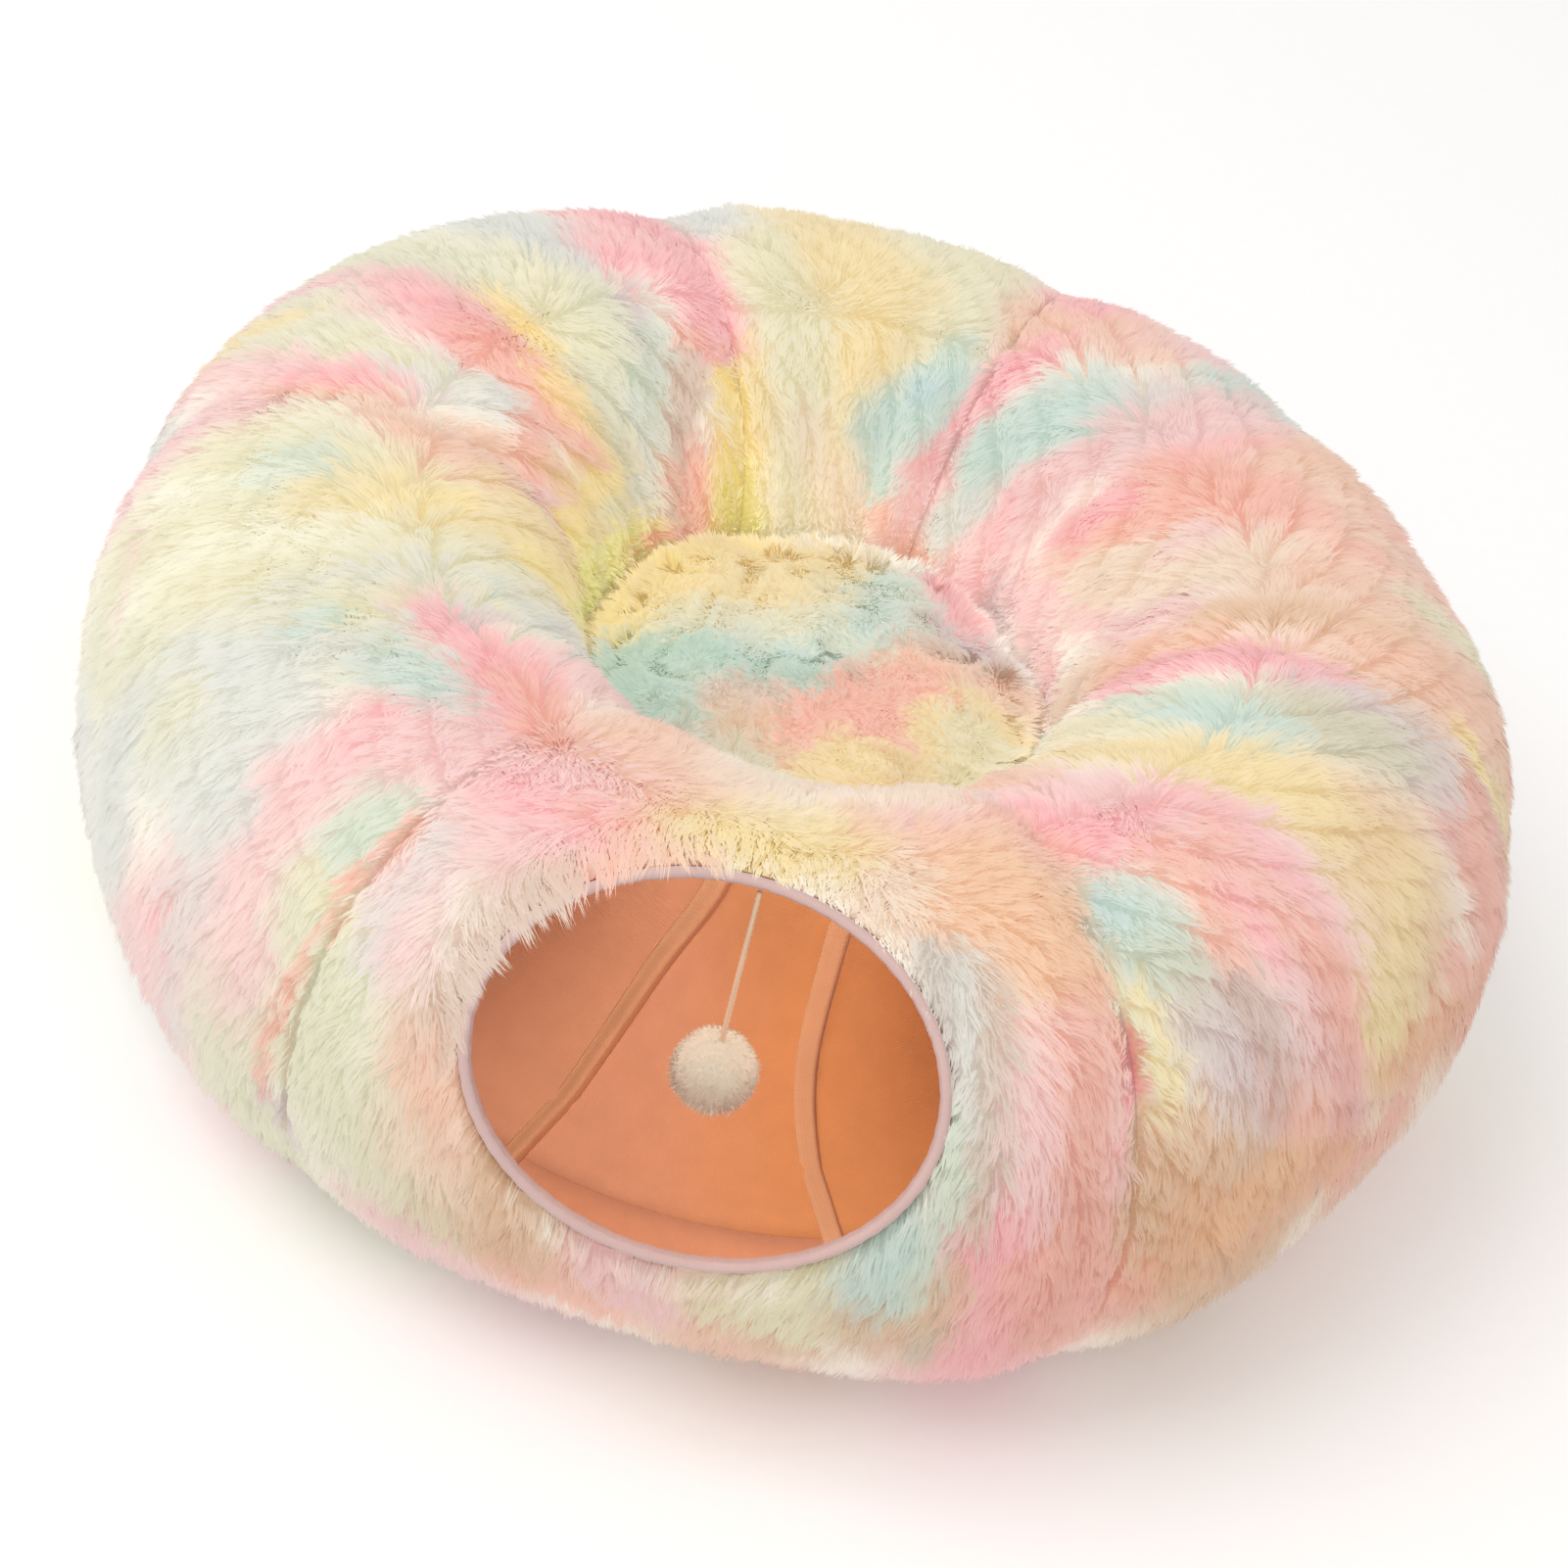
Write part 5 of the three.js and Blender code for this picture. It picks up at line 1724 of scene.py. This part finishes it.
def string_mesh():
    """The string: two plies twisted together."""
    mesh = sheet_mesh("string", columns=16, rows=110)
    points = corners(mesh)
    turn, along = points[:, 0] * 2 * math.pi, points[:, 1] + 0.5
    twist = 2 * math.pi * along * (STRING_TOP - STRING_LOW) / STRING_TWIST
    radius = STRING_DIAMETER / 2 * (0.82 + 0.18 * np.abs(np.cos(turn - twist)))
    height = STRING_TOP + along * (STRING_LOW - STRING_TOP)
    x = POMPOM_PLACE.x + radius * np.cos(turn)
    put_corners(mesh, np.stack([x, POMPOM_PLACE.y + radius * np.sin(turn), height], 1))
    close_tube(mesh)
    points = corners(mesh)
    turn = np.arctan2(points[:, 1] - POMPOM_PLACE.y, points[:, 0] - POMPOM_PLACE.x)
    chart(mesh, "Cloth", np.stack([turn * STRING_DIAMETER / 2, points[:, 2]], 1))
    return mesh


def close_tube(mesh):
    """Joins the two long edges of a rolled sheet and closes its ends."""
    bm = bmesh.new()
    bm.from_mesh(mesh)
    bmesh.ops.remove_doubles(bm, verts=bm.verts[:], dist=1e-6)
    bmesh.ops.holes_fill(bm, edges=[e for e in bm.edges if e.is_boundary], sides=0)
    face_out(bm, mesh)


class TUNNELBED_OT_tuft(Operator):
    """The tuft of yarn on its string"""

    bl_idname = "tunnel_bed.tuft"
    bl_label = "Tuft and string"

    def execute(self, context):
        colours, sizes = context.scene.bed_colours, context.scene.bed_sizes
        bm = bmesh.new()
        bmesh.ops.create_icosphere(bm, subdivisions=4, radius=POMPOM_RADIUS * TUFT_CORE_SHARE)
        bmesh.ops.translate(bm, verts=bm.verts[:], vec=POMPOM_PLACE)
        mesh = mesh_from(bm, "tuft_core")
        # Painted shade: the core deeper than the yarn, for the shade among the yarn.
        paint(mesh, np.tile(linear(colours.tuft) ** 1.15, (len(mesh.vertices), 1)))
        core = piece("tuft_core", mesh, backing_material("tuft_core"))
        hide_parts("pompom")
        count = sizes.tuft_strands
        index = np.arange(count) + 0.5
        height, turn = 1 - 2 * index / count, index * math.pi * (3 - math.sqrt(5))
        level = np.sqrt(1 - height**2)
        ways = np.stack([level * np.cos(turn), level * np.sin(turn), height], 1)
        chance = np.random.default_rng(41).uniform(-1, 1, (count, 3))
        ways = unit(ways + 0.05 * chance)
        roots = np.array(POMPOM_PLACE) + ways * POMPOM_RADIUS * TUFT_ROOT_SHARE
        lays = unit(np.cross(ways, unit(chance[:, [1, 2, 0]])) + [0, 0, -0.4])
        long = np.full(count, POMPOM_RADIUS * TUFT_YARN_SHARE)
        points, shading, near = grow(
            roots,
            ways,
            lays,
            length=long,
            width=YARN_WIDTH,
            rise=(36, 62),
            lock=9,
            pull=0.2,
            droop=0.0,
            seed=42,
        )
        dye = np.tile(linear(colours.tuft), (count, 1))
        places = points.reshape(-1, 3)[:, [0, 2]] / TUFT_MAP % 1
        yarn = strand_mesh("tuft_yarn", points, shading, strand_colours(dye, 43, near), places)
        pile_on(core, "tuft_yarn", yarn, pile_material("tuft_yarn"))
        material = woven_material("string_twist", thread=0.0011, depth=0.0003, colour=colours.string)
        string = piece("string", string_mesh(), material)
        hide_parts("pompom_string")
        return {"FINISHED"}


# The photographed view: the camera's distance, its rise, roll and field of view, and where it aims
VIEW_DISTANCE = 2.444
VIEW_RISE = math.radians(39.34)
VIEW_ROLL = math.radians(14.36)
VIEW_ANGLE = math.radians(20.12)
VIEW_TARGET = Vector((0, 0, 0.14))
VIEW_SIDE = -0.00796
VIEW_UP = -0.02329

# The lamps: name, place, what each points at, size, watts and colour
LAMPS = (
    ("key", (-1.5, -0.7, 3.0), (0, 0, 0.1), 2.0, 41, (1.0, 0.99, 0.97)),
    ("front", (0.2, -2.6, 2.4), (0, -0.2, 0.12), 1.4, 8, (1.0, 0.98, 0.95)),
    ("inside_left", (-0.10, -0.235, 0.232), (-0.03, -0.18, 0.03), 0.07, 0.14, (1, 0.95, 0.88)),
    ("inside_right", (0.10, -0.235, 0.232), (0.03, -0.18, 0.03), 0.07, 0.14, (1, 0.95, 0.88)),
)
SKY_COLOUR = (1.0, 0.99, 0.98, 1)
SKY_STRENGTH = 0.80


def aim(obj, place, target, up):
    """Puts a light or a camera at a place and points it at a target."""
    back = (Vector(place) - Vector(target)).normalized()
    right = Vector(up).cross(back).normalized()
    turned = Matrix((right, back.cross(right), back)).transposed().to_4x4()
    obj.matrix_world = Matrix.Translation(place) @ turned


def add_light(name, place, target, size, watts, colour):
    """A soft square lamp."""
    lamp = bpy.data.lights.new(name, "AREA")
    lamp.size, lamp.energy, lamp.color = size, watts, colour
    obj = bpy.data.objects.new(name, lamp)
    bpy.context.scene.collection.objects.link(obj)
    aim(obj, place, target, (0, 0.02, 1))


class TUNNELBED_OT_studio(Operator):
    """The pale floor, the soft lights and the camera at the photographed view"""

    bl_idname = "tunnel_bed.studio"
    bl_label = "Studio"

    def execute(self, context):
        scene = context.scene
        bm = bmesh.new()
        bmesh.ops.create_grid(bm, x_segments=2, y_segments=2, size=9)
        mesh = mesh_from(bm, "floor")
        material, tree, shader = new_material("floor", 0.9)
        places = add_node(tree, "ShaderNodeTexCoord").outputs["Object"]
        grain = add_node(tree, "ShaderNodeTexNoise", inputs={"Vector": places, "Scale": 90})
        pale = socket_colour(scene.bed_colours.floor)
        shade_by(tree, shader, pale, grain.outputs["Fac"], (0, 1), (0.99, 1.01))
        floor = bpy.data.objects.new("floor", mesh)
        scene.collection.objects.link(floor)
        mesh.materials.append(material)

        world = bpy.data.worlds.new("studio")
        world.use_nodes = True
        world.node_tree.nodes["Background"].inputs["Color"].default_value = SKY_COLOUR
        world.node_tree.nodes["Background"].inputs["Strength"].default_value = SKY_STRENGTH
        scene.world = world
        for lamp in LAMPS:
            add_light(*lamp)

        back = Vector((0, -math.cos(VIEW_RISE), math.sin(VIEW_RISE)))
        up = back.cross(Vector((1, 0, 0)))
        side = Vector((1, 0, 0)) * math.cos(VIEW_ROLL) + up * math.sin(VIEW_ROLL)
        above = up * math.cos(VIEW_ROLL) - Vector((1, 0, 0)) * math.sin(VIEW_ROLL)
        lens = bpy.data.cameras.new("camera")
        lens.sensor_fit = "HORIZONTAL"
        lens.angle = VIEW_ANGLE
        camera = bpy.data.objects.new("camera", lens)
        scene.collection.objects.link(camera)
        target = VIEW_TARGET + side * VIEW_SIDE + above * VIEW_UP
        aim(camera, VIEW_TARGET + back * VIEW_DISTANCE, target, above)
        scene.camera = camera
        scene.view_settings.view_transform = "Standard"
        scene.view_settings.look = "None"
        return {"FINISHED"}


OPERATORS = (
    TUNNELBED_OT_covers,
    TUNNELBED_OT_pile,
    TUNNELBED_OT_lining,
    TUNNELBED_OT_rib_casings,
    TUNNELBED_OT_binding,
    TUNNELBED_OT_cushion,
    TUNNELBED_OT_tuft,
    TUNNELBED_OT_studio,
)


class TUNNELBED_PT_bed(Panel):
    """The bed's sizes, colours and pieces"""

    bl_idname = "TUNNELBED_PT_bed"
    bl_label = "Cat tunnel bed"
    bl_space_type = "VIEW_3D"
    bl_region_type = "UI"
    bl_category = "Tunnel Bed"

    def draw(self, context):
        for group in (context.scene.bed_sizes, context.scene.bed_colours, context.scene.bed_dyes):
            box = self.layout.box()
            for name in type(group).__annotations__:
                box.prop(group, name)
        for operator in OPERATORS:
            self.layout.operator(operator.bl_idname)


CLASSES = (BedSizes, PieceColours, DyeAndLightColours, *OPERATORS, TUNNELBED_PT_bed)


def register():
    for cls in CLASSES:
        bpy.utils.register_class(cls)
    bpy.types.Scene.bed_sizes = PointerProperty(type=BedSizes)
    bpy.types.Scene.bed_colours = PointerProperty(type=PieceColours)
    bpy.types.Scene.bed_dyes = PointerProperty(type=DyeAndLightColours)


def unregister():
    del bpy.types.Scene.bed_sizes
    del bpy.types.Scene.bed_colours
    del bpy.types.Scene.bed_dyes
    for cls in reversed(CLASSES):
        bpy.utils.unregister_class(cls)


def main():
    """Builds every piece in order."""
    register()
    for operator in OPERATORS:
        group, name = operator.bl_idname.split(".")
        getattr(getattr(bpy.ops, group), name)()


if __name__ == "__main__":
    main()
